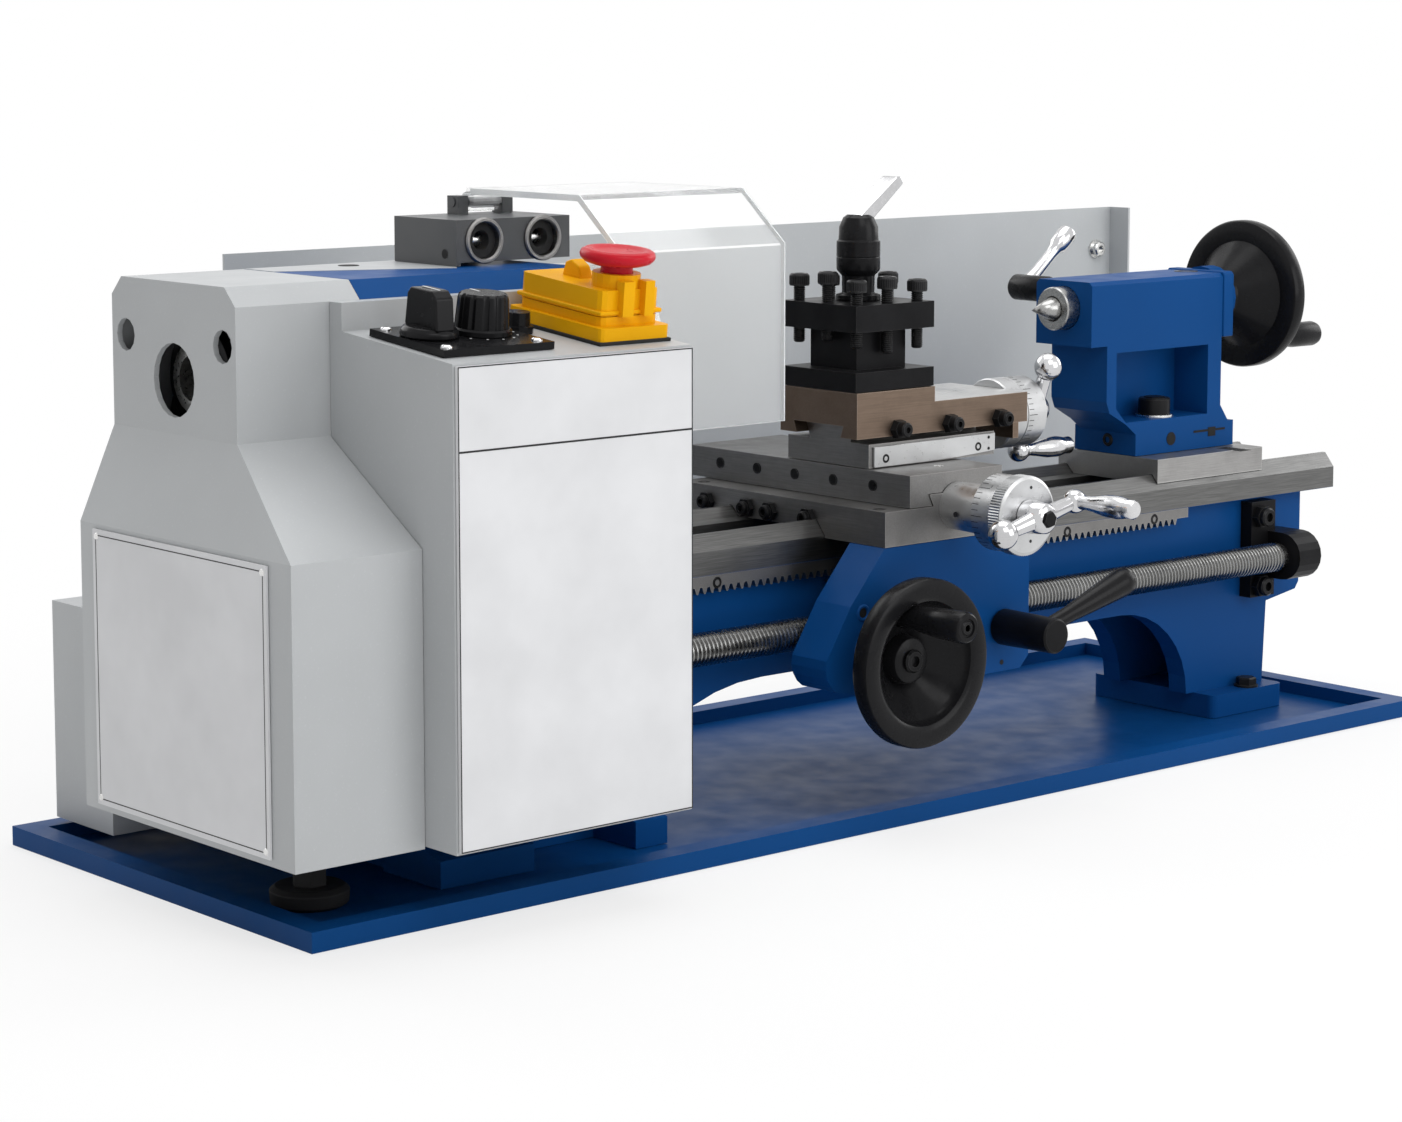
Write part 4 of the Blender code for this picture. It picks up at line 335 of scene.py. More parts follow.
def moulded(name, colour, rough, grain=0.15, coat=0.0, gloss=0.25):
    """Moulded plastic with a faint spark-eroded grain."""
    paint = Paint(name, Coat_Weight=coat, Coat_Roughness=0.08, Specular_IOR_Level=gloss)
    paint.colour(paint.ramp(paint.noise(30, 3), shade(colour, 0.95), shade(colour, 1.05)))
    paint.roughness(paint.ranged(paint.noise(140, 3), rough - 0.04, rough + 0.06))
    paint.bump((paint.noise(1700, 2), grain, 0.04))
    return paint.made


def clear(name):
    """A clear sheet with a little haze and faint wipe marks."""
    paint = Paint(name, Transmission_Weight=0.88, IOR=1.08, Roughness=0.03, Coat_Weight=0.5, Coat_Roughness=0.05)
    paint.colour(paint.ramp(paint.noise(20, 2), (0.955, 0.962, 0.962), (0.985, 0.99, 0.99)))
    paint.roughness(paint.ranged(paint.noise(60, 5, 0.7), 0.02, 0.09, 0.4, 0.8))
    return paint.made


BLUE_RGB = (0.004, 0.06, 0.22)
RAIL_LOW = 119.6  # the bed is bare metal above this height
BLUE = enamel("blue_enamel", BLUE_RGB, 0.4, 0.0, 0.06, 0.12, gloss=0.06)
TRAY_BLUE = enamel("tray_blue", (0.003, 0.055, 0.2), 0.36, 0.0, 0.04, gloss=0.06)
# This grey and the next are one grey paint in two tones, as painted light: the splash guard's copy is lighter and the
# covers' darker, for how differently each is lit.
GREY = enamel("grey_enamel", (0.46, 0.475, 0.485), 0.42, 0.04, 0.1, gloss=0.3)
SPLASH_GREY_PAINTED_LIT = enamel("splash_grey_painted_lit", (0.54, 0.56, 0.57), 0.42, 0.04, 0.1, gloss=0.3)
WHITE = moulded("label_white", (0.70, 0.705, 0.72), 0.42, 0.04)
# Black print and engraved marks; also painted shadow round the front plate.
INK_AND_SHADOW = moulded("ink_and_painted_shadow_black", (0.02, 0.02, 0.022), 0.5, 0.03)
STEEL = turned_metal("ground_steel", (0.5, 0.5, 0.49), 0.3)
BRIGHT = turned_metal("bright_steel", (0.7, 0.7, 0.69), 0.24)
WAY_STEEL = machined("way_steel", (0.62, 0.62, 0.615), 0.34, "x")
# The colour given last to IRON, SOLE_IRON, BRONZED, OXIDE and SCREW is a painted highlight on their edges.
IRON = machined("machined_iron", (0.22, 0.216, 0.212), 0.4, "y", edge_highlight=(0.38, 0.37, 0.36))
SOLE_IRON = machined("sole_iron", (0.33, 0.325, 0.32), 0.38, "x", edge_highlight=(0.5, 0.5, 0.49))
BRONZED = machined("bronzed_iron", (0.17, 0.125, 0.095), 0.38, "x", edge_highlight=(0.34, 0.27, 0.22))
OXIDE = oxide("black_oxide", (0.009, 0.009, 0.01), 0.36, 0.2, (0.05, 0.05, 0.05), gloss=0.08)
GRIP = moulded("black_moulded", (0.009, 0.009, 0.01), 0.26, 0.06, 0.02, gloss=0.1)
SCREW = oxide("screw_black", (0.014, 0.014, 0.015), 0.34, 0.5, (0.09, 0.09, 0.09), gloss=0.1)
CHROME = turned_metal("chrome", (0.58, 0.58, 0.59), 0.14)
BRACKET = enamel("bracket_grey", (0.045, 0.048, 0.052), 0.4, 0.1, 0.08)
CLEAR = clear("clear_guard")
RUBBER = moulded("belt_rubber", (0.02, 0.02, 0.02), 0.75, 0.4)
PANEL = moulded("panel_black", (0.009, 0.009, 0.01), 0.2, 0.03, 0.04, gloss=0.1)
KNOB = moulded("knob_black", (0.009, 0.009, 0.01), 0.24, 0.08, 0.04, gloss=0.1)
YELLOW = moulded("switch_yellow", (0.85, 0.42, 0.004), 0.34, 0.1, 0.0, gloss=0.06)
RED = moulded("stop_red", (0.56, 0.012, 0.025), 0.3, 0.06, 0.02, gloss=0.12)
GREEN = moulded("start_green", (0.02, 0.3, 0.07), 0.34, 0.08)
THREAD = turned_metal("leadscrew_steel", (0.32, 0.32, 0.315), 0.22)
ALUMINIUM = turned_metal("satin_aluminium", (0.54, 0.545, 0.55), 0.33)
BRIGHT_ALUMINIUM = turned_metal("bright_aluminium", (0.66, 0.66, 0.67), 0.2)
QUILL_STEEL = turned_metal("quill_steel", (0.36, 0.36, 0.355), 0.26)
EDGE = moulded("guard_edge", (0.72, 0.74, 0.75), 0.3, 0.03)
RUBBER_FOOT = moulded("foot_rubber", (0.015, 0.015, 0.016), 0.6, 0.3)
# Near-black for the headstock's oil plug, and painted shade on thin pieces standing for holes, slots and recesses.
DARK_PLUG_AND_SHADE = moulded("plug_black_and_painted_shade", (0.006, 0.006, 0.006), 0.7, 0.1)

FINISH = {
    "chip_tray": (TRAY_BLUE, 1.2), "bed": (BLUE, 1.0), "headstock": (BLUE, 1.0), "apron": (BLUE, 1.2),
    "tailstock_body": (BLUE, 1.0), "gear_cover": (GREY, 1.3), "motor_cover": (GREY, 1.0),
    "control_box": (GREY, 1.0), "splash_guard": (SPLASH_GREY_PAINTED_LIT, 0.4), "front_plate": (WHITE, 0.25),
    "gear_chart_plate": (WHITE, 0.2), "rack": (IRON, 0), "spindle_bearing_left": (BRIGHT, 0.5),
    "spindle_bearing_right": (BRIGHT, 0.5), "spindle": (STEEL, 0), "chuck_body": (STEEL, 0.6),
    "chuck_jaw_1": (STEEL, 0.4), "chuck_jaw_2": (STEEL, 0.4), "chuck_jaw_3": (STEEL, 0.4),
    "idler_gear_upper": (STEEL, 0), "idler_gear_lower": (STEEL, 0), "leadscrew": (STEEL, 0),
    "motor_pulley": (STEEL, 0), "cross_feed_sleeve": (STEEL, 0.5), "cross_feed_dial": (BRIGHT, 0.4),
    "compound_dial": (BRIGHT, 0.4), "rack_pinion": (STEEL, 0), "half_nut_upper": (STEEL, 0.3),
    "half_nut_lower": (STEEL, 0.3), "quill": (BRIGHT, 0.5), "dead_centre": (STEEL, 0),
    "change_gear_bracket": (IRON, 0.5), "saddle": (IRON, 0.8), "cross_slide": (IRON, 0.8),
    "compound_base": (IRON, 0.8), "tailstock_sole": (SOLE_IRON, 0.8), "top_slide": (BRONZED, 0.8),
    "leadscrew_bracket": (OXIDE, 0.8), "motor": (OXIDE, 1.0), "apron_handwheel": (GRIP, 0),
    "half_nut_lever": (OXIDE, 0), "tool_post": (OXIDE, 0.5), "tool_post_lever": (OXIDE, 0.5),
    "tailstock_clamp": (OXIDE, 0.3), "tail_handwheel": (GRIP, 0), "cross_feed_crank": (CHROME, 0),
    "compound_crank": (CHROME, 0), "quill_lock_lever": (CHROME, 0), "guard_bracket": (BRACKET, 0.6),
    "chuck_guard": (CLEAR, 0.6), "drive_belt": (RUBBER, 0), "control_panel": (PANEL, 0.8),
    "fuse_cap": (KNOB, 0.4), "direction_knob": (KNOB, 0.5), "speed_knob": (KNOB, 0.5),
    "switch_box": (YELLOW, 0.5), "switch_lid": (YELLOW, 0.6), "stop_button": (RED, 0),
    "start_button": (GREEN, 0.5),
}


def bare_rails():
    """The bed's paint stops under the rails, which are ground bare."""
    paint = Paint("bed_paint_and_ways", Specular_IOR_Level=0.06)
    height = paint.node("ShaderNodeSeparateXYZ")
    paint.link(paint.place, height.inputs["Vector"])
    above = paint.node("ShaderNodeMath", operation="GREATER_THAN")
    above.inputs[1].default_value = RAIL_LOW * MM
    paint.link(height.outputs["Z"], above.inputs[0])
    share = above.outputs["Value"]
    blue = paint.ramp(paint.noise(7, 4), shade(BLUE_RGB, 0.93), shade(BLUE_RGB, 1.07))
    streak = paint.noise(9, 3, 0.6, paint.stretched((6, 260, 260)))
    bare = paint.ramp(streak, (0.11, 0.11, 0.108), (0.18, 0.18, 0.178))
    paint.colour(paint.mix(share, blue, bare))
    paint.link(share, paint.shader.inputs["Metallic"])
    paint.roughness(paint.ranged(paint.noise(28, 5, 0.62), 0.3, 0.42))
    paint.bump((paint.noise(150, 5, 0.6), 0.1, 0.3), (streak, 0.35, 0.04))
    return paint.made


def finish_nodes():
    """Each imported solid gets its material, shading and edge bevel."""
    for name, piece in NODES.items():
        material, bevel = FINISH[name]
        if name == "bed":
            material = bare_rails()
        piece.data.materials.clear()
        piece.data.materials.append(material)
        piece.data.shade_smooth()
        piece.data.set_sharp_from_angle(angle=math.radians(34))
        if bevel:
            add_bevel(piece, bevel)


# --- the bed, its rails, rack and screws ---
LEADSCREW = (0, 55.0, 87.0)
SCREW_PITCH = 2.5


def thread(shape, axis, centre, low, high, root, crest, pitch, sides=24):
    """A helical thread with a flat crest, standing on a plain core."""
    bm = shape.bm
    a0, b0 = (centre[i] for i in ORDER[axis][:2])
    section = ((0.0, root), (0.22, crest), (0.5, crest), (0.72, root))
    turns = int((high - low) / pitch) - 1
    rows = []
    for step in range(turns * sides + 1):
        angle = 2 * math.pi * step / sides
        start = low + pitch * step / sides
        row = [spot(axis, a0 + r * math.cos(angle), b0 + r * math.sin(angle), start + share * pitch)
               for share, r in section]
        rows.append([bm.verts.new(point) for point in row])
    for first, second in zip(rows, rows[1:]):
        for i in range(len(section) - 1):
            bm.faces.new((first[i], first[i + 1], second[i + 1], second[i]))
    for end in (rows[0], rows[-1]):
        bm.faces.new(end)
    for first, second in zip(rows, rows[1:]):
        bm.faces.new((first[0], second[0], second[3], first[3]))
    shape.rod(axis, centre, low - 1, high + 1, root + 0.02, sides)


def gear_outline(teeth, phase, centre, module=1.5):
    """Straight-sided teeth round a centre."""
    points = []
    pitch_r = teeth * module / 2
    for tooth in range(teeth):
        middle = phase + 2 * math.pi * tooth / teeth
        for height, half, side in ((-1.25, 1.02, -1), (0.0, 0.55, -1), (0.88, 0.25, -1),
                                   (0.88, 0.25, 1), (0.0, 0.55, 1), (-1.25, 1.02, 1)):
            radius = pitch_r + height * module
            angle = middle + side * half * module / radius
            points.append((centre[0] + radius * math.cos(angle), centre[1] + radius * math.sin(angle)))
    return points


def make_leadscrew():
    """The leadscrew: its threaded length, plain ends and gear."""
    shape = Shape()
    _, y, z = LEADSCREW
    shape.solid("x", LEADSCREW, [(34, 6), (63, 6), (63, 7.9), (74, 7.9)], 48)
    thread(shape, "x", LEADSCREW, 73, 678, 6.7, 8.0, SCREW_PITCH)
    shape.solid("x", LEADSCREW, [(676, 7.6), (679, 7.6), (679, 6), (695, 6)], 48)
    shape.make("leadscrew_thread", THREAD, "leadscrew", "ground_steel", instead_of="leadscrew")
    gear = Shape().prism("x", gear_outline(40, 0.02, (y, z)), 37, 46)
    gear.solid("x", LEADSCREW, [(35, 12), (36, 13), (47.5, 13)], 40)
    gear.make("leadscrew_gear", STEEL, "leadscrew", "ground_steel")


def make_bed_screws():
    shape = Shape()
    for x in (277.6, 360, 440, 520, 587.8):
        shape.socket_screw("y", (x, 0, 115.4), 64.7, 3.0, -2.2)
    shape.make("rack_screws", SCREW, "frame", "black_oxide")
    shape = Shape()
    for z in (108.9, 70.5):
        shape.rod("y", (673.5, 0, z), 59.9, 63.8, 6.4, 6)
        shape.socket_screw("y", (673.5, 0, z), 56.6, 5.2, -5.5)
    shape.make("bracket_screws", SCREW, "frame", "black_oxide")
    shape = Shape()
    for x, y in ((666, 65.0), (666, 139.0), (122.0, 50), (216.0, 50)):
        shape.rod("z", (x, y, 0), 14.2, 15.8, 6.6, 36)
        shape.solid("z", (x, y, 0), [(15.6, 5.6), (19.4, 5.6), (20.0, 5.0)], 6)
    shape.make("bed_bolts", SCREW, "frame", "black_oxide")
    shape = Shape()
    foot = (40, 60, 0)
    shape.solid("z", foot, [(2.1, 15), (3.5, 17), (9, 17.5), (11, 15)], 48)
    shape.rod("z", foot, 10.5, 19, 8, 6)
    shape.rod("z", foot, 18, 30, 4.2, 24)
    shape.make("cover_foot", RUBBER_FOOT, "frame", "belt_rubber", 0.4)


def make_splash_screws():
    shape = Shape()
    for x, z in ((732.6, 244.4), (732.6, 120.0), (200.0, 120.0), (200.0, 244.4)):
        shape.solid("y", (x, 0, z), [(242.5, 5.6), (241.2, 5.6)], 40)
        shape.socket_screw("y", (x, 0, z), 237.4, 4.4, -4.2)
    shape.make("splash_screws", BRIGHT, "frame", "ground_steel")


# --- headstock top, gear cover and control box ---
def make_headstock_trim():
    shape = Shape().prism("z", [(66.2, 120), (141, 85.6), (180, 142.5), (66.2, 142.5)], 269.9, 270.18)
    shape.make("headstock_grey_top", GREY, "frame", "grey_enamel")
    shape = Shape().solid("z", (112, 128, 0), [(270.1, 5), (270.4, 4.6)], 32)
    shape.make("headstock_oil_plug", DARK_PLUG_AND_SHADE, "frame", "black_oxide")
    shape = Shape()
    for side in (-1, 1):
        place = (0, AXIS_Y + side * 38, AXIS_Z + 17)
        shape.socket_screw("x", place, 12.5, 5.6, -6.5)
        shape.rod("x", place, 14, 64.5, 3.2, 20)
    shape.make("cover_screws", SCREW, "frame", "black_oxide")
    shape = Shape().turned("x", (0, AXIS_Y, AXIS_Z), [(16, 15.2), (16, 24), (20, 24.5), (20, 15.2)], 72)
    shape.make("spindle_nut", SCREW, "spindle", "black_oxide", 0.4)
    shape = Shape()
    for y in (8.0, 136.0):
        for z in (44.0, 159.0):
            shape.turned("x", (0, y, z), [(-16.1, 0), (-16.1, 1.7), (-16.7, 1.3), (-16.9, 0)], 20)
    shape.make("chart_rivets", BRIGHT, "frame", "ground_steel")
    shape = Shape()
    frame_strip(shape, "x", 7.3, 136.7, 43.3, 159.7, 0.45, -16.38, -16.28)
    shape.make("chart_border", INK_AND_SHADOW, "frame", "knob_black")


def frame_strip(shape, axis, a0, a1, b0, b1, wide, low, high):
    """A thin rectangular outline of four strips."""
    for p0, p1, q0, q1 in ((a0, a1, b0, b0 + wide), (a0, a1, b1 - wide, b1),
                           (a0, a0 + wide, b0 + wide, b1 - wide), (a1 - wide, a1, b0 + wide, b1 - wide)):
        shape.prism(axis, [(p0, q0), (p1, q0), (p1, q1), (p0, q1)], low, high)


def make_box_trim():
    face = -34.4
    shape = Shape()
    # painted shadow: a thin dark strip round the plate where its edge gap is shaded, and a dark line across at its
    # split
    frame_strip(shape, "y", 51.1, 176.4, 40.1, 240.9, 0.5, face - 0.12, face + 0.1)
    shape.block(51.6, 175.9, face - 0.12, face + 0.1, 205.6, 206.4)
    shape.make("front_plate_shadow_and_split_lines", INK_AND_SHADOW, "frame", "knob_black")
    shape = Shape()
    for x, y in ((59.0, -16.0), (106.0, -16.0), (59.0, 26.5), (106.0, 26.5)):
        top = BOX_FRONT_TOP + 3.4
        shape.solid("z", (x, y, 0), [(top, 2.6), (top + 0.7, 2.4), (top + 1.3, 1.6)], 28)
    shape.turn(SLOPED)
    shape.make("panel_screws", CHROME, "frame", "chrome")


def make_knobs():
    """The fluted speed knob and the pointer knob, with white marks."""
    seat = BOX_FRONT_TOP + 3.8
    x, y = SPEED_KNOB
    profile = shifted(seat, [(0, 13), (1.8, 13), (2.6, 12.2)])
    shape = Shape().solid("z", (x, y, 0), profile, 72)
    flutes = 12
    count = flutes * 8
    rows = []
    for height, size in ((2.5, 11.6), (14.8, 10.8), (16.2, 10.4), (17.0, 9.4)):
        row = []
        for i in range(count):
            angle = 2 * math.pi * i / count
            dip = max(0.0, math.cos(flutes * angle)) ** 0.7 * (0.9 if height < 16.5 else 0.35)
            radius = size - dip
            row.append(shape.bm.verts.new(at(x + radius * math.cos(angle), y + radius * math.sin(angle),
                                             seat + height)))
        rows.append(row)
    for first, second in zip(rows, rows[1:]):
        for i in range(count):
            j = (i + 1) % count
            shape.bm.faces.new((first[i], first[j], second[j], second[i]))
    shape.bm.faces.new(rows[0])
    shape.bm.faces.new(rows[-1])
    shape.rod("z", (x, y, 0), seat - 11.5, seat + 1, 3.0, 24)
    shape.turn(SLOPED)
    shape.make("speed_knob_fluted", KNOB, "speed_knob", "knob_black", angle=28, instead_of="speed_knob")
    mark = Shape().block(x - 0.5, x + 0.5, y + 3, y + 9.2, seat + 16.98, seat + 17.12).turn(SLOPED)
    mark.make("speed_knob_mark", WHITE, "speed_knob", "label_white")
    x, y = DIRECTION_KNOB
    profile = shifted(seat, [(0, 0), (0, 12.5), (2.4, 12.5), (4.4, 10.6), (4.6, 0)])
    shape = Shape().turned("z", (x, y, 0), profile, 72)
    shape.rod("z", (x, y, 0), seat - 11.5, seat + 1, 3.0, 24)
    side = [(y - 11.5, seat + 3.5), (y + 11.5, seat + 3.5), (y + 10.6, seat + 17), (y + 8.6, seat + 19.6),
            (y - 6.0, seat + 20), (y - 9.5, seat + 17)]
    shape.prism("x", side, x - 4.6, x + 4.6).turn(SLOPED)
    shape.make("direction_knob_pointer", KNOB, "direction_knob", "knob_black", 0.8, 3, instead_of="direction_knob")
    mark = Shape().block(x - 0.5, x + 0.5, y - 5.6, y + 6, seat + 19.92, seat + 20.1).turn(SLOPED)
    mark.make("direction_knob_mark", WHITE, "direction_knob", "label_white")
    shape = Shape()
    for i in range(11):
        angle = math.radians(-225 + 27 * i)
        cx, cy = SPEED_KNOB[0] + 15.2 * math.cos(angle), SPEED_KNOB[1] + 15.2 * math.sin(angle)
        top = BOX_FRONT_TOP + 3.5
        shape.solid("z", (cx, cy, 0), [(top - 0.1, 0.55), (top + 0.06, 0.55)], 12)
    shape.turn(SLOPED).make("speed_scale", WHITE, "frame", "label_white")


def make_switch_trim():
    """The safety switch's gasket, lid rib, fin and hinge, and its stop button."""
    base = BOX_FRONT_TOP + 0.3
    x0, x1, y0, y1 = SWITCH
    gasket = Shape().block(x0 - 0.7, x1 + 0.7, y0 - 0.7, y1 + 0.7, BOX_FRONT_TOP + 0.02, base + 1.3)
    gasket.turn(SLOPED).make("switch_gasket", RUBBER, "frame", "belt_rubber", 0.3)
    seat, roof = base + 11.3, base + 22.3
    rim = Shape().block(x0 + 1.9, x1 - 1.9, y0 + 3.4, y1 - 2.4, seat + 0.5, seat + 2.4)
    rim.turn(SLOPED).make("switch_lid_rib", YELLOW, "switch_lid", "switch_yellow", 0.7, 3)
    fin = Shape().prism("x", [(12.0, roof - 1), (26.0, roof - 1), (24.0, roof + 6.0), (20.0, roof + 7.5),
                              (15.0, roof + 5.0)], 151.0, 158.0)
    fin.turn(SLOPED).make("switch_lid_fin", YELLOW, "switch_lid", "switch_yellow", 0.9, 3)
    hinge = Shape().rod("x", (0, y1 - 3.2, seat + 0.3), x0 + 6, x1 - 6, 2.5, 32)
    hinge.turn(SLOPED).make("switch_hinge", YELLOW, "frame", "switch_yellow", 0.4)
    profile = shifted(roof + 9.3, [(0, 6.9), (0.05, 11), (1.2, 14.4), (2.8, 16.0), (4.2, 16.4), (5.8, 15.8),
                                   (6.7, 14.2), (6.6, 12.2), (5.9, 10.6), (5.5, 8.0)])
    profile = [(roof - 1.4, 6.9)] + profile
    button = Shape().solid("z", (154.5, -7.0, 0), profile, 96).turn(SLOPED)
    button.make("stop_mushroom", RED, "stop_button", "stop_red", angle=60, instead_of="stop_button")


def make_guard_trim():
    """The guard bracket's two ringed bushes, its bar and its screw."""
    z = 281.3
    rings, bushes = Shape(), Shape()
    for x in (159.5, 193.0):
        rings.turned("y", (x, 0, z), [(89.2, 8.3), (88.6, 8.9), (88.6, 9.9), (89.2, 10.5), (90.2, 10.5),
                                      (97.5, 8.8), (97.5, 8.3)], 56)
        bushes.turned("y", (x, 0, z), [(92, 4.4), (92, 8.25), (104, 8.25), (104, 4.4)], 40)
    rings.make("bracket_rings", IRON, "frame", "chrome")
    bushes.make("bracket_bushes", RUBBER, "frame", "belt_rubber", 0.4)
    bar = Shape().rod("x", (0, 99.5, z), 147.5, 206, 3.4, 32)
    bar.make("bracket_bar", BRIGHT, "frame", "ground_steel")
    hole = Shape().solid("x", (0, 98.5, 275.5), [(144.2, 2.0), (143.85, 2.3)], 28)
    hole.make("bracket_screw", SCREW, "frame", "black_oxide")


def make_guard_edges():
    """The clear sheet's cut edges catch the light and read pale."""
    sheet = [(124.9, 302.9), (45.1, 302.9), (16.1, 278.9), (16.1, 197.1), (18.9, 197.1), (18.9, 277.8),
             (46.1, 300.1), (124.9, 300.1)]
    shape = Shape()
    for x in (178.55, 275.45):
        shape.prism("x", sheet, x, x + 0.5)
    shape.make("guard_edges", EDGE, "guard", "clear_guard")


# --- saddle, cross slide and compound ---
def make_gib_screws():
    shape = Shape()
    for y in (75.2, 103.1, 120.0, 150.0):
        shape.rod("x", (0, y, 138.8), 343.2, 346.2, 5.0, 6)
        shape.socket_screw("x", (0, y, 138.8), 340.6, 3.4, -4.0)
    shape.make("saddle_gib_screws", SCREW, "carriage", "black_oxide")
    shape = Shape()
    for y in (48.0, 76.0, 104.0, 132.0, 160.0):
        shape.turned("x", (0, y, 155.8), [(362.9, 2.2), (362.6, 2.8), (363.3, 2.8), (363.3, 2.2)], 28)
        shape.rod("x", (0, y, 155.8), 362.85, 364, 2.2, 28)
    shape.make("cross_slide_set_screws", SCREW, "cross_slide", "black_oxide")
    shape = Shape()
    for x in (384.4, 420.3, 455.5):
        shape.solid("y", (x, 0, 181.3), [(53.2, 5.2), (49.6, 4.6)], 6)
        shape.solid("y", (x, 0, 181.3), [(50, 3.9), (46.2, 3.7), (45.4, 3.0), (45.4, 1.6), (47, 1.6)], 32)
    shape.make("top_slide_gib_screws", SCREW, "top_slide", "black_oxide")
    shape = Shape()
    outline = [(367.6, 163.6), (400, 163.6), (425, 164.0), (451.4, 165.4), (451.4, 174.2), (367.6, 173.6)]
    shape.prism("y", outline, 51.6, 52.95)
    shape.make("gib_plate", ALUMINIUM, "compound", "label_white", 0.25)
    shape = Shape()
    for x, z in ((375.3, 167.6), (439.4, 168.2)):
        shape.turned("y", (x, 0, z), [(51.7, 1.0), (51.35, 1.3), (51.35, 2.0), (51.7, 2.3)], 32)
    for x, z in ((446.8, 172.3), (446.8, 166.7)):
        shape.rod("y", (x, 0, z), 51.45, 51.7, 0.8, 20)
    shape.make("gib_plate_screws", SCREW, "compound", "black_oxide")
    shape = Shape()
    for x, y in ((400.0, 40.0), (400.0, 128.0), (414.0, 150.0)):
        shape.solid("z", (x, y, 0), [(162.9, 2.6), (163.15, 2.2)], 28)
    shape.make("cross_slide_oil_points", BRIGHT, "cross_slide", "ground_steel")
    # painted shade: a thin near-black sheet standing for the shaded oil slot
    shape = Shape().block(434.5, 441.0, 60.4, 61.8, 192.9, 193.1)
    shape.make("top_slide_oil_slot_painted_shade", DARK_PLUG_AND_SHADE, "top_slide", "black_oxide")
    shape = Shape().block(388.5, 399.5, 14.5, 22, 140.5, 156.0)
    shape.make("cross_feed_bracket", STEEL, "carriage", "ground_steel", 0.8)
    shape = Shape()
    for x, y in ((352.0, 32.0), (442.0, 32.0), (352.0, 160.0), (442.0, 160.0)):
        shape.solid("z", (x, y, 0), [(146.9, 3.4), (147.12, 3.0), (147.12, 1.6), (146.95, 1.6)], 32)
    shape.make("saddle_screws", SCREW, "carriage", "black_oxide")


def scale_marks(shape, axis, centre, radius, low, count, short, long_, every):
    """Engraved lines round a drum, as thin dark strips lying on it."""
    wide = 0.16
    a0, b0 = (centre[i] for i in ORDER[axis][:2])
    for i in range(count):
        angle = 2 * math.pi * i / count
        reach = long_ if i % every == 0 else short
        high = low + reach
        across = (-math.sin(angle) * wide, math.cos(angle) * wide)
        out = (math.cos(angle), math.sin(angle))
        base = [(a0 + out[0] * r + across[0] * s, b0 + out[1] * r + across[1] * s)
                for r, s in ((radius - 0.1, -1), (radius + 0.05, -1), (radius + 0.05, 1), (radius - 0.1, 1))]
        shape.prism(axis, base, min(low, high), max(low, high))


def knurl(shape, axis, centre, low, high, radius, count=90, depth=0.35):
    """A straight-knurled band."""
    a0, b0 = (centre[i] for i in ORDER[axis][:2])
    outline = []
    for i in range(count * 2):
        angle = math.pi * i / count
        size = radius if i % 2 else radius - depth
        outline.append((a0 + size * math.cos(angle), b0 + size * math.sin(angle)))
    shape.prism(axis, outline, low, high)


def make_top_plate():
    """The top slide's ground upper face."""
    plate = Shape().block(410.3, 475.7, 53.3, 107.7, 192.95, 193.12)
    plate.make("top_slide_plate", WAY_STEEL, "top_slide", "ground_steel")


def make_dials():
    centre = (394.0, 0, 146.0)
    shape = Shape().solid("y", centre, [(-26, 17.6), (-25.2, 19.0), (-17.6, 19.0), (-17.2, 18.5), (-6.2, 18.5),
                                        (-5.5, 17.8)], 96)
    shape.make("cross_feed_drum", ALUMINIUM, "cross_crank", "ground_steel", angle=25, instead_of="cross_feed_dial")
    shape = Shape()
    knurl(shape, "y", centre, -24.8, -18.2, 19.3)
    shape.make("cross_feed_knurl", ALUMINIUM, "cross_crank", "ground_steel", angle=10)
    shape = Shape()
    scale_marks(shape, "y", centre, 18.5, -6.4, 40, -4.0, -7.0, 5)
    for z in (159.6, 133.8):
        shape.rod("y", (396.0, 0, z), -26.12, -25.9, 0.8, 16)
    shape.make("cross_feed_scale", INK_AND_SHADOW, "cross_crank", "knob_black")
    shape = Shape().solid("y", centre, [(21.8, 11.6), (6, 12.0), (-1, 12.6), (-3.2, 15.4), (-5.0, 16.4)], 80)
    shape.make("cross_feed_barrel", ALUMINIUM, "carriage", "ground_steel", angle=30, instead_of="cross_feed_sleeve")
    shape = Shape().block(393.8, 394.2, -4.0, 4.0, 158.3, 158.9)
    shape.rod("x", (0, 10.0, 144.0), 381.4, 382.6, 1.3, 20)
    shape.make("cross_feed_index", INK_AND_SHADOW, "carriage", "knob_black")
    centre = (0, 80.5, 179.2)
    shape = Shape().solid("x", centre, [(476.3, 17.6), (477, 18.2), (486.6, 18.2), (487.0, 17.7), (487.4, 18.2),
                                        (500.6, 18.2), (502.3, 16.2)], 96)
    shape.make("compound_drum", ALUMINIUM, "compound_crank", "ground_steel", angle=25, instead_of="compound_dial")
    shape = Shape()
    scale_marks(shape, "x", centre, 18.2, 488.0, 40, 3.2, 5.6, 5)
    shape.make("compound_scale", INK_AND_SHADOW, "compound_crank", "knob_black")
    shape = Shape().block(479, 485, 62.25, 62.5, 178.7, 179.7)
    shape.make("compound_index", INK_AND_SHADOW, "compound_crank", "knob_black")


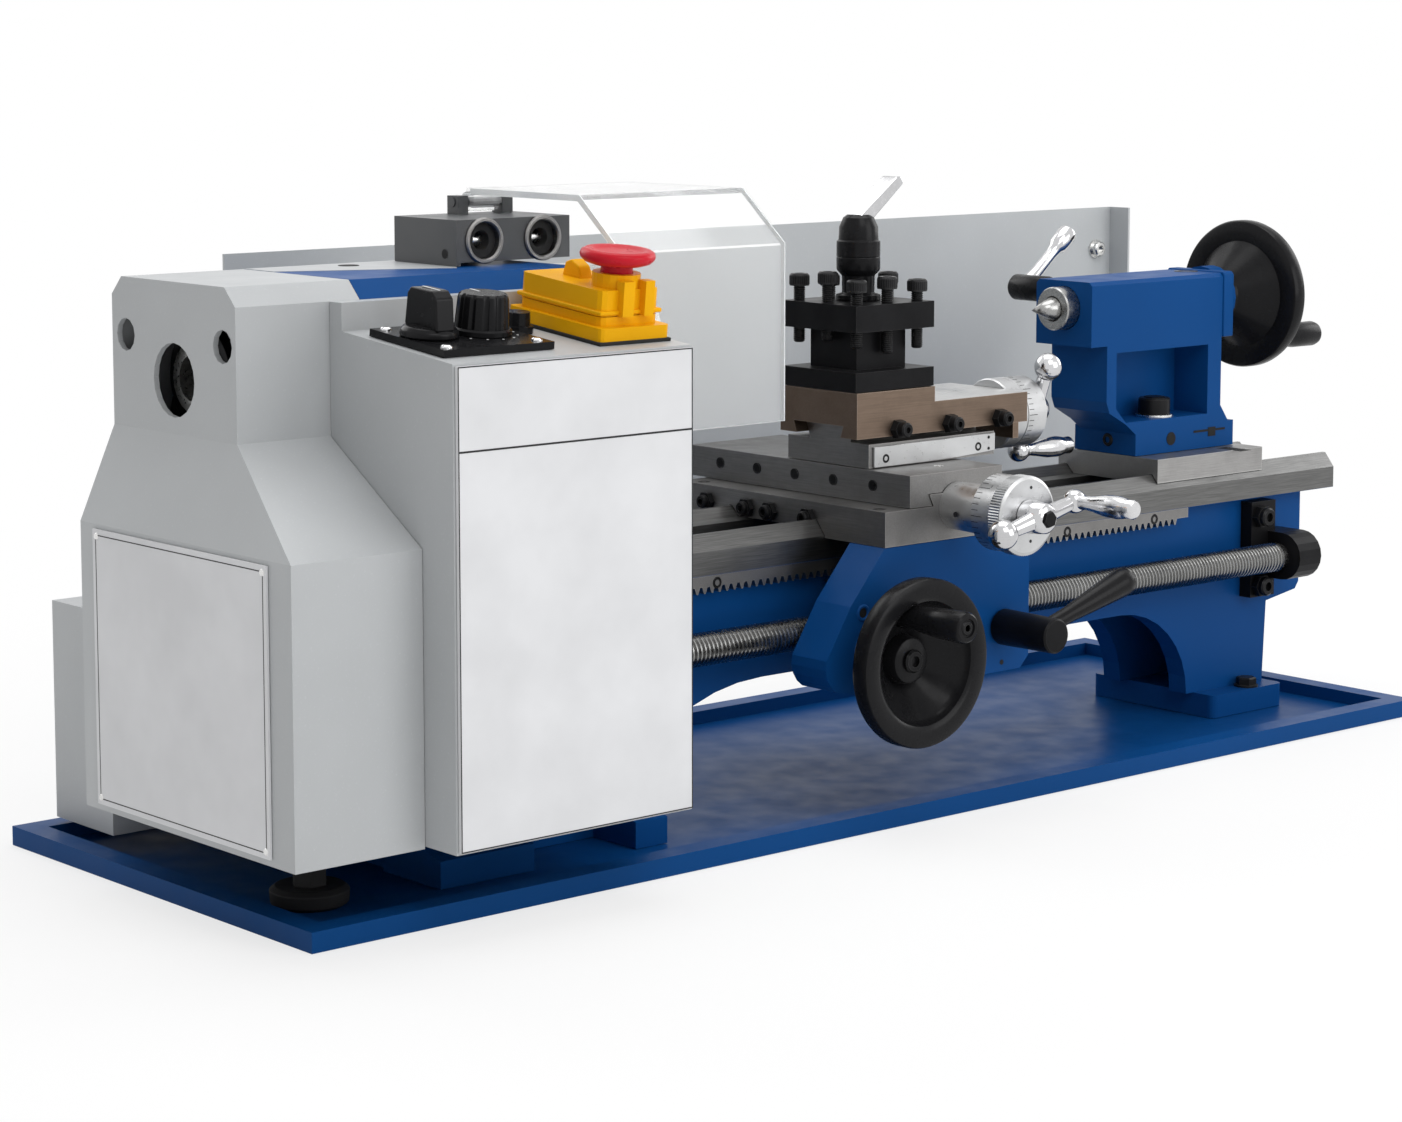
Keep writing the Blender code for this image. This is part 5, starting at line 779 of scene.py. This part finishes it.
def make_crank(name, body, node, turn, origin):
    """A ball crank along +Y from its hub's seat at the origin, turned into place."""
    x, y, z = origin
    bar, grip, nut = Shape(), Shape(), Shape()
    bar.solid("y", origin, shifted(y, [(0, 8.0), (2, 8.2), (11.5, 7.2), (13, 5.6)]), 56)
    bar.solid("x", (0, y + 7, z), shifted(x, [(-24, 3.3), (-8, 4.2), (0, 5.8), (8, 4.2), (24, 3.4)]), 40)
    bar.ball((x - 25, y + 7, z), 7.2, 40)
    bar.ball((x + 25, y + 7, z), 5.8, 32)
    profile = shifted(y + 10, [(0, 3.2), (3, 3.6), (4, 3.1), (10, 3.9), (18, 5.3), (25, 5.5), (29, 4.9),
                               (30.5, 4.4), (34.5, 4.6), (35.8, 3.6)])
    grip.solid("y", (x + 25, 0, z), profile, 48)
    nut.turned("y", origin, shifted(y, [(12.6, 0), (12.6, 4.4), (14.8, 4.0), (15.0, 0)]), 6)
    for shape in (bar, grip, nut):
        shape.turn(turn)
    bar.make(name + "_bar", CHROME, body, "chrome", angle=50, instead_of=node)
    grip.make(name + "_grip", BRIGHT_ALUMINIUM, body, "chrome", angle=50)
    nut.make(name + "_nut", SCREW, body, "black_oxide", 0.3)


def make_cranks():
    centre = (394.0, 0, 146.0)  # built pointing back, then turned half round to face the operator
    turn = about("y", math.radians(-13), centre) @ about("x", math.pi, centre)
    make_crank("cross_crank", "cross_crank", "cross_feed_crank", turn, (394.0, 26.3, 146.0))
    turn = Matrix.Translation(at(502.6, 80.5, 179.2)) @ Matrix.Rotation(math.radians(114), 4, "X")
    turn = turn @ Matrix.Rotation(math.radians(-90), 4, "Z") @ Matrix.Translation(-at(0, 0, 179.2))
    make_crank("compound_crank", "compound_crank", "compound_crank", turn, (0, 0, 179.2))


# --- tool post ---
def make_tool_post_parts():
    shape = Shape()
    places = [(363, 101, 256, 222), (363, 80.5, 258, 224), (363, 60, 255, 221.7), (383.5, 60, 255.7, 218),
              (404, 60, 253.5, 219.4), (404, 80.5, 256, 222), (404, 101, 257, 223), (383.5, 101, 255, 221)]
    for x, y, top, bottom in places:
        shape.socket_screw("z", (x, y, 0), top, 4.9, 6.0)
        knurl(shape, "z", (x, y, 0), top - 5.4, top - 1.2, 5.05, 28, 0.22)
        profile = [(top - 5.8, 2.9)]
        z = top - 6.4
        while z > bottom + 1.2:
            profile += [(z, 2.95), (z - 0.35, 2.55), (z - 0.7, 2.95)]
            z -= 1.0
        profile += [(bottom + 0.5, 2.6), (bottom, 2.0)]
        shape.solid("z", (x, y, 0), profile, 24)
    shape.make("tool_post_screws", SCREW, "tool_post", "black_oxide", angle=40)
    seat = 243.1
    x, y = 383.5, 80.5
    profile = [(0, 6.4), (0, 11), (2.6, 11), (3.6, 8), (12, 8.1), (14.2, 10.2), (15.4, 10.8), (21, 10.8),
               (21.3, 10.5), (21.6, 10.8), (29, 10.8), (29.6, 9.9), (36, 9.6), (40.5, 7.6), (42, 5.5), (42.3, 0),
               (22.4, 0), (22.4, 6.4)]
    hub = Shape().turned("z", (x, y, 0), shifted(seat, profile), 80)
    hub.make("tool_post_lever_hub", GRIP, "tool_post_lever", "black_oxide", 0.25, angle=28,
             instead_of="tool_post_lever")
    top = seat + 42
    outline = [(x - 5, top - 3.5), (x + 1.5, top - 7), (x + 5.5, top - 2.0), (408.8, 299.3), (409.0, 300.6),
               (407.2, 303.2), (404.4, 303.2), (x - 2.5, top + 1.0)]
    blade = Shape().prism("y", outline, y - 5.2, y + 5.2)
    blade.make("tool_post_lever_arm", CHROME, "tool_post_lever", "chrome", 1.1, 4)


# --- tailstock ---
def make_tailstock_parts():
    axis = (0, AXIS_Y, AXIS_Z)
    shape = Shape().turned("x", axis, [(546, 6.8), (546, 10.9), (546.7, 11.5), (664, 11.5), (664, 6.8)], 96)
    shape.make("quill_smooth", QUILL_STEEL, "quill", "ground_steel", angle=28, instead_of="quill")
    shape = Shape().turned("x", axis, [(530, 0), (541, 4.6), (546, 6.4), (588, 5.9), (588, 0)], 96)
    shape.make("dead_centre_smooth", QUILL_STEEL, "quill", "ground_steel", angle=28, instead_of="dead_centre")
    shape = Shape().solid("z", (655, 104, 0), [(242.3, 6.8), (242.75, 6.5), (242.75, 4.4), (242.4, 4.0)], 48)
    shape.make("tailstock_oil_cup", SCREW, "tailstock", "black_oxide")
    shape = Shape()
    shape.prism("x", [(80.9, 207.5), (123.1, 207.5), (123.1, 241.2), (121.8, 243.3), (82.2, 243.3), (80.9, 241.2)],
                660.5, 668.6)
    shape.make("tailstock_end_flange", BLUE, "tailstock", "blue_enamel", 0.9, 3)
    shape = Shape().rod("z", (618, 93, 0), 165.9, 167.4, 10.2, 48)
    shape.make("tailstock_washer", BRIGHT, "tailstock", "ground_steel", 0.3)
    shape = Shape().solid("z", (618, 93, 0), [(167.2, 8.0), (167.8, 8.6), (175.6, 8.6), (176.4, 7.9), (176.4, 5.6),
                                              (174.4, 5.4)], 56)
    shape.make("tailstock_bolt_cap", SCREW, "tailstock", "black_oxide")
    # painted shade: thin near-black pieces on the faces standing for the shaded recesses
    shape = Shape().rod("y", (619.5, 0, 154.6), 81.75, 83, 3.6, 36)
    shape.block(638, 664, 81.8, 83, 156.2, 157.4)
    shape.block(650, 656, 81.7, 83, 153.4, 158.4)
    shape.block(652.6, 661.0, 60.5, 78.0, 146.9, 147.06)
    shape.make("tailstock_recess_painted_shade", DARK_PLUG_AND_SHADE, "tailstock", "black_oxide")
    shape = Shape().socket_screw("x", (0, AXIS_Y - 0.1, 154.5), 590.2, 3.6, -2.0)
    shape.make("tailstock_set_screw", SCREW, "tailstock", "black_oxide")
    x, r = TAIL_WHEEL_X, TAIL_WHEEL_R
    profile = [(675.4, 12), (681.3, 13.4), (x - 1, r - 13), (x + 0.4, r - 11.4), (x, r - 10),
               (x, r - 1.8), (x + 0.6, r - 0.6), (x + 2, r), (x + 7, r), (x + 8.4, r - 0.5), (x + 9, r - 1.8),
               (x + 9, r - 9.6), (x + 8, r - 11), (x + 4, r - 13.8), (x - 6, 17.6), (x + 5.6, 15.2),
               (x + 7.2, 14.4), (x + 8, 13.4)]
    shape = Shape().solid("x", axis, profile, 128)
    grip = shifted(x, [(1, 5), (10, 5.4), (21, 6.8), (38, 6.9), (40.4, 6.2), (41, 5.0)])
    shape.solid("x", (0, AXIS_Y - 21, AXIS_Z - 23), grip, 56)
    shape.make("tail_wheel_smooth", GRIP, "tail_wheel", "black_oxide", angle=30, instead_of="tail_handwheel")
    shape = Shape().socket_screw("x", axis, x + 9.6, 5.0, 3.0)
    shape.rod("x", axis, x + 7, x + 8.4, 8.0, 48)
    shape.make("tail_wheel_screw", BRIGHT, "tail_wheel", "ground_steel")
    lock = (566.0, 0, 236.0)
    y0 = 122.3
    profile = shifted(y0, [(0, 6.2), (1.5, 7.0), (24.6, 7.0), (26, 6.0)])
    shape = Shape().solid("y", lock, profile, 56)
    shape.make("quill_lock_hub", GRIP, "quill_lock", "black_oxide", angle=40, instead_of="quill_lock_lever")
    y = y0 + 19
    profile = [(566, 4.4), (572, 4.2), (577, 3.4), (592, 3.1), (597, 3.7), (599, 5.0), (609.6, 5.4), (611, 4.4)]
    arm = Shape().solid("x", (0, y, 236.0), profile, 48).turn(about("y", math.radians(-40), (566.0, y, 236.0)))
    arm.make("quill_lock_arm", CHROME, "quill_lock", "chrome", angle=50)


# --- apron ---
def make_apron_parts():
    centre = (344.0, 0, 78.6)
    front, r = -10.0, 40.5
    profile = [(11, 9.6), (11.5, 10.6), (12.5, 11.2), (18, 12.2), (6, 27.6), (3.6, 29.0), (1.2, 29.9),
               (0.5, 31.0), (0, 32.4), (0, r - 1.8), (0.5, r - 0.6), (1.8, r), (8.2, r), (9.5, r - 0.6),
               (10, r - 2), (10, 31.4), (9, 28.5), (24, 15)]
    shape = Shape().solid("y", centre, shifted(front, profile) + [(21.7, 13)], 128)
    angle = math.radians(105)
    grip = (344 + 23 * math.cos(angle), 0, 78.6 + 23 * math.sin(angle))
    profile = [(14, 5.6), (0, 5.8), (-3, 6.2), (-16, 7.3), (-30, 7.5), (-31.5, 6.9), (-32, 6.2), (-32, 4.4),
               (-31.2, 4.1)]
    shape.solid("y", grip, shifted(front, profile), 64)
    shape.make("apron_wheel_smooth", GRIP, "apron_wheel", "black_oxide", angle=30, instead_of="apron_handwheel")
    shape = Shape().socket_screw("y", centre, -1.6, 5.6, -3.4)
    shape.socket_screw("y", grip, -41.9, 3.4, -1.4)
    shape.make("apron_wheel_screws", SCREW, "apron_wheel", "black_oxide")
    shape = Shape().turned("y", centre, [(21.9, 14.8), (19.8, 15.6), (19.4, 17.6), (21.9, 18.4)], 72)
    shape.turned("y", (332.0, 0, 100.2), [(21.95, 2.4), (21.2, 2.9), (21.2, 3.6), (21.95, 4.2)], 40)
    shape.make("apron_bosses", BLUE, "carriage", "blue_enamel")
    # painted shade: thin near-black discs standing for the shaded holes
    shape = Shape().rod("y", (427.0, 0, 64.5), 21.85, 22.2, 1.3, 20)
    shape.rod("y", (332.0, 0, 100.2), 21.9, 22.3, 2.3, 28)
    shape.make("apron_hole_painted_shade", DARK_PLUG_AND_SHADE, "carriage", "black_oxide")
    lever = (427.0, 0, 82.5)
    shape = Shape().solid("y", lever, [(-15, 7.8), (-14.2, 8.6), (20.5, 9.0), (21.6, 8.4)], 72)
    end = 427 + math.hypot(65, 19.5)
    profile = [(427, 4.0)] + shifted(end, [(-44, 4.2), (-40, 4.6), (-6, 7.1), (-1.5, 6.9), (0, 5.6)])
    arm = Shape().solid("x", (0, -2, 82.5), profile, 56)
    arm.turn(about("y", -math.atan2(19.5, 65), (427.0, -2, 82.5)))
    arm.make("half_nut_arm", GRIP, "half_nut_lever", "black_oxide", angle=45)
    shape.make("half_nut_hub", OXIDE, "half_nut_lever", "black_oxide", angle=40, instead_of="half_nut_lever")


def make_chuck_parts():
    shape = Shape()
    for i in range(3):
        angle = math.radians(60 + 120 * i)
        y, z = AXIS_Y - 25 * math.sin(angle), AXIS_Z + 25 * math.cos(angle)
        shape.socket_screw("x", (0, y, z), 244.6, 3.8, 2.0)
    shape.make("chuck_screws", SCREW, "spindle", "black_oxide")


DETAILS = (make_leadscrew, make_bed_screws, make_splash_screws, make_headstock_trim, make_box_trim, make_knobs,
           make_switch_trim, make_guard_trim, make_guard_edges, make_gib_screws, make_top_plate, make_dials,
           make_cranks, make_tool_post_parts, make_tailstock_parts, make_apron_parts, make_chuck_parts)


# --- studio ---
WORLD_LIGHT = 0.38
FLOOR_HALF, FLOOR_Z = 6.0, -0.0004
FLOOR_FADE = (0.5, 1.0, 0.72, 1.0)  # from 0.5 m to 1 m out, the floor's own glow goes from 0.72 to 1
LAMPS = (("key", (-0.5, -1.8, 1.9), 1.3, 17), ("front", (0.9, -2.2, 0.9), 1.4, 16),
         ("top", (0.3, 0.2, 2.1), 1.6, 20), ("side", (2.1, -0.3, 0.9), 1.0, 9),
         ("back", (-0.3, 2.0, 1.4), 1.4, 12), ("left", (-2.3, 0.4, 0.8), 1.2, 1.5))
LAMP_AIM = (0, 0, 0.1)
CAMERA_PLACE = (-1.12551, -1.24120, 0.38018)
CAMERA_DOWN, CAMERA_TURN, CAMERA_LENS = 6.7948, 40.9595, 86.469  # degrees, degrees, mm


def background(tree, seen, lit):
    """One shader seen by the camera, in mirrors and through glass, and another that lights everything else."""
    link = tree.links.new
    path = tree.nodes.new("ShaderNodeLightPath")
    total = path.outputs["Is Camera Ray"]
    for name in ("Is Glossy Ray", "Is Transmission Ray"):
        both = tree.nodes.new("ShaderNodeMath")
        both.operation = "MAXIMUM"
        link(total, both.inputs[0])
        link(path.outputs[name], both.inputs[1])
        total = both.outputs["Value"]
    mix = tree.nodes.new("ShaderNodeMixShader")
    link(total, mix.inputs["Fac"])
    link(lit, mix.inputs[1])
    link(seen, mix.inputs[2])
    return mix.outputs["Shader"]


def make_studio():
    """A white world, a floor that takes a faint shadow, the lamps and the camera."""
    scene = bpy.context.scene
    world = bpy.data.worlds.new("studio")
    scene.world = world
    world.use_nodes = True
    tree = world.node_tree
    link = tree.links.new
    plain = tree.nodes["Background"]
    plain.inputs["Color"].default_value = (1, 1, 1, 1)
    plain.inputs["Strength"].default_value = WORLD_LIGHT
    white = tree.nodes.new("ShaderNodeBackground")
    white.inputs["Color"].default_value = (1, 1, 1, 1)
    white.inputs["Strength"].default_value = 1.0
    both = background(tree, white.outputs["Background"], plain.outputs["Background"])
    link(both, tree.nodes["World Output"].inputs["Surface"])

    mesh = bpy.data.meshes.new("floor")
    half = FLOOR_HALF
    mesh.from_pydata([(-half, -half, 0), (half, -half, 0), (half, half, 0), (-half, half, 0)], [], [(0, 1, 2, 3)])
    floor = bpy.data.objects.new("floor", mesh)
    scene.collection.objects.link(floor)
    floor.location.z = FLOOR_Z
    pale = bpy.data.materials.new("floor_white")
    pale.use_nodes = True
    tree = pale.node_tree
    link = tree.links.new
    shader = tree.nodes["Principled BSDF"]
    shader.inputs["Base Color"].default_value = (0.9, 0.9, 0.9, 1)
    shader.inputs["Roughness"].default_value = 0.9
    glow = tree.nodes.new("ShaderNodeEmission")
    glow.inputs["Strength"].default_value = 1.0
    part = tree.nodes.new("ShaderNodeMixShader")
    place = tree.nodes.new("ShaderNodeTexCoord")
    length = tree.nodes.new("ShaderNodeVectorMath")
    length.operation = "LENGTH"
    link(place.outputs["Object"], length.inputs[0])
    share = tree.nodes.new("ShaderNodeMapRange")
    for name, value in zip(("From Min", "From Max", "To Min", "To Max"), FLOOR_FADE):
        share.inputs[name].default_value = value
    link(length.outputs["Value"], share.inputs["Value"])
    link(share.outputs["Result"], part.inputs["Fac"])
    link(shader.outputs["BSDF"], part.inputs[1])
    link(glow.outputs["Emission"], part.inputs[2])
    both = background(tree, part.outputs["Shader"], shader.outputs["BSDF"])
    link(both, tree.nodes["Material Output"].inputs["Surface"])
    mesh.materials.append(pale)

    for name, place, size, power in LAMPS:
        data = bpy.data.lights.new(name, "AREA")
        data.shape = "SQUARE"
        data.size = size
        data.energy = power
        lamp = bpy.data.objects.new(name, data)
        lamp.location = place
        lamp.rotation_euler = (Vector(LAMP_AIM) - Vector(place)).to_track_quat("-Z", "Y").to_euler()
        scene.collection.objects.link(lamp)

    data = bpy.data.cameras.new("camera")
    data.sensor_width = 36.0
    data.lens = CAMERA_LENS
    data.shift_y = -0.1
    data.clip_start = 0.05
    data.clip_end = 30.0
    camera = bpy.data.objects.new("camera", data)
    camera.location = CAMERA_PLACE
    camera.rotation_euler = (math.radians(90 - CAMERA_DOWN), 0, math.radians(-CAMERA_TURN))
    scene.collection.objects.link(camera)
    scene.camera = camera
    scene.view_settings.view_transform = "Standard"


def main():
    make_studio()
    finish_nodes()
    for make in DETAILS:
        make()


main()
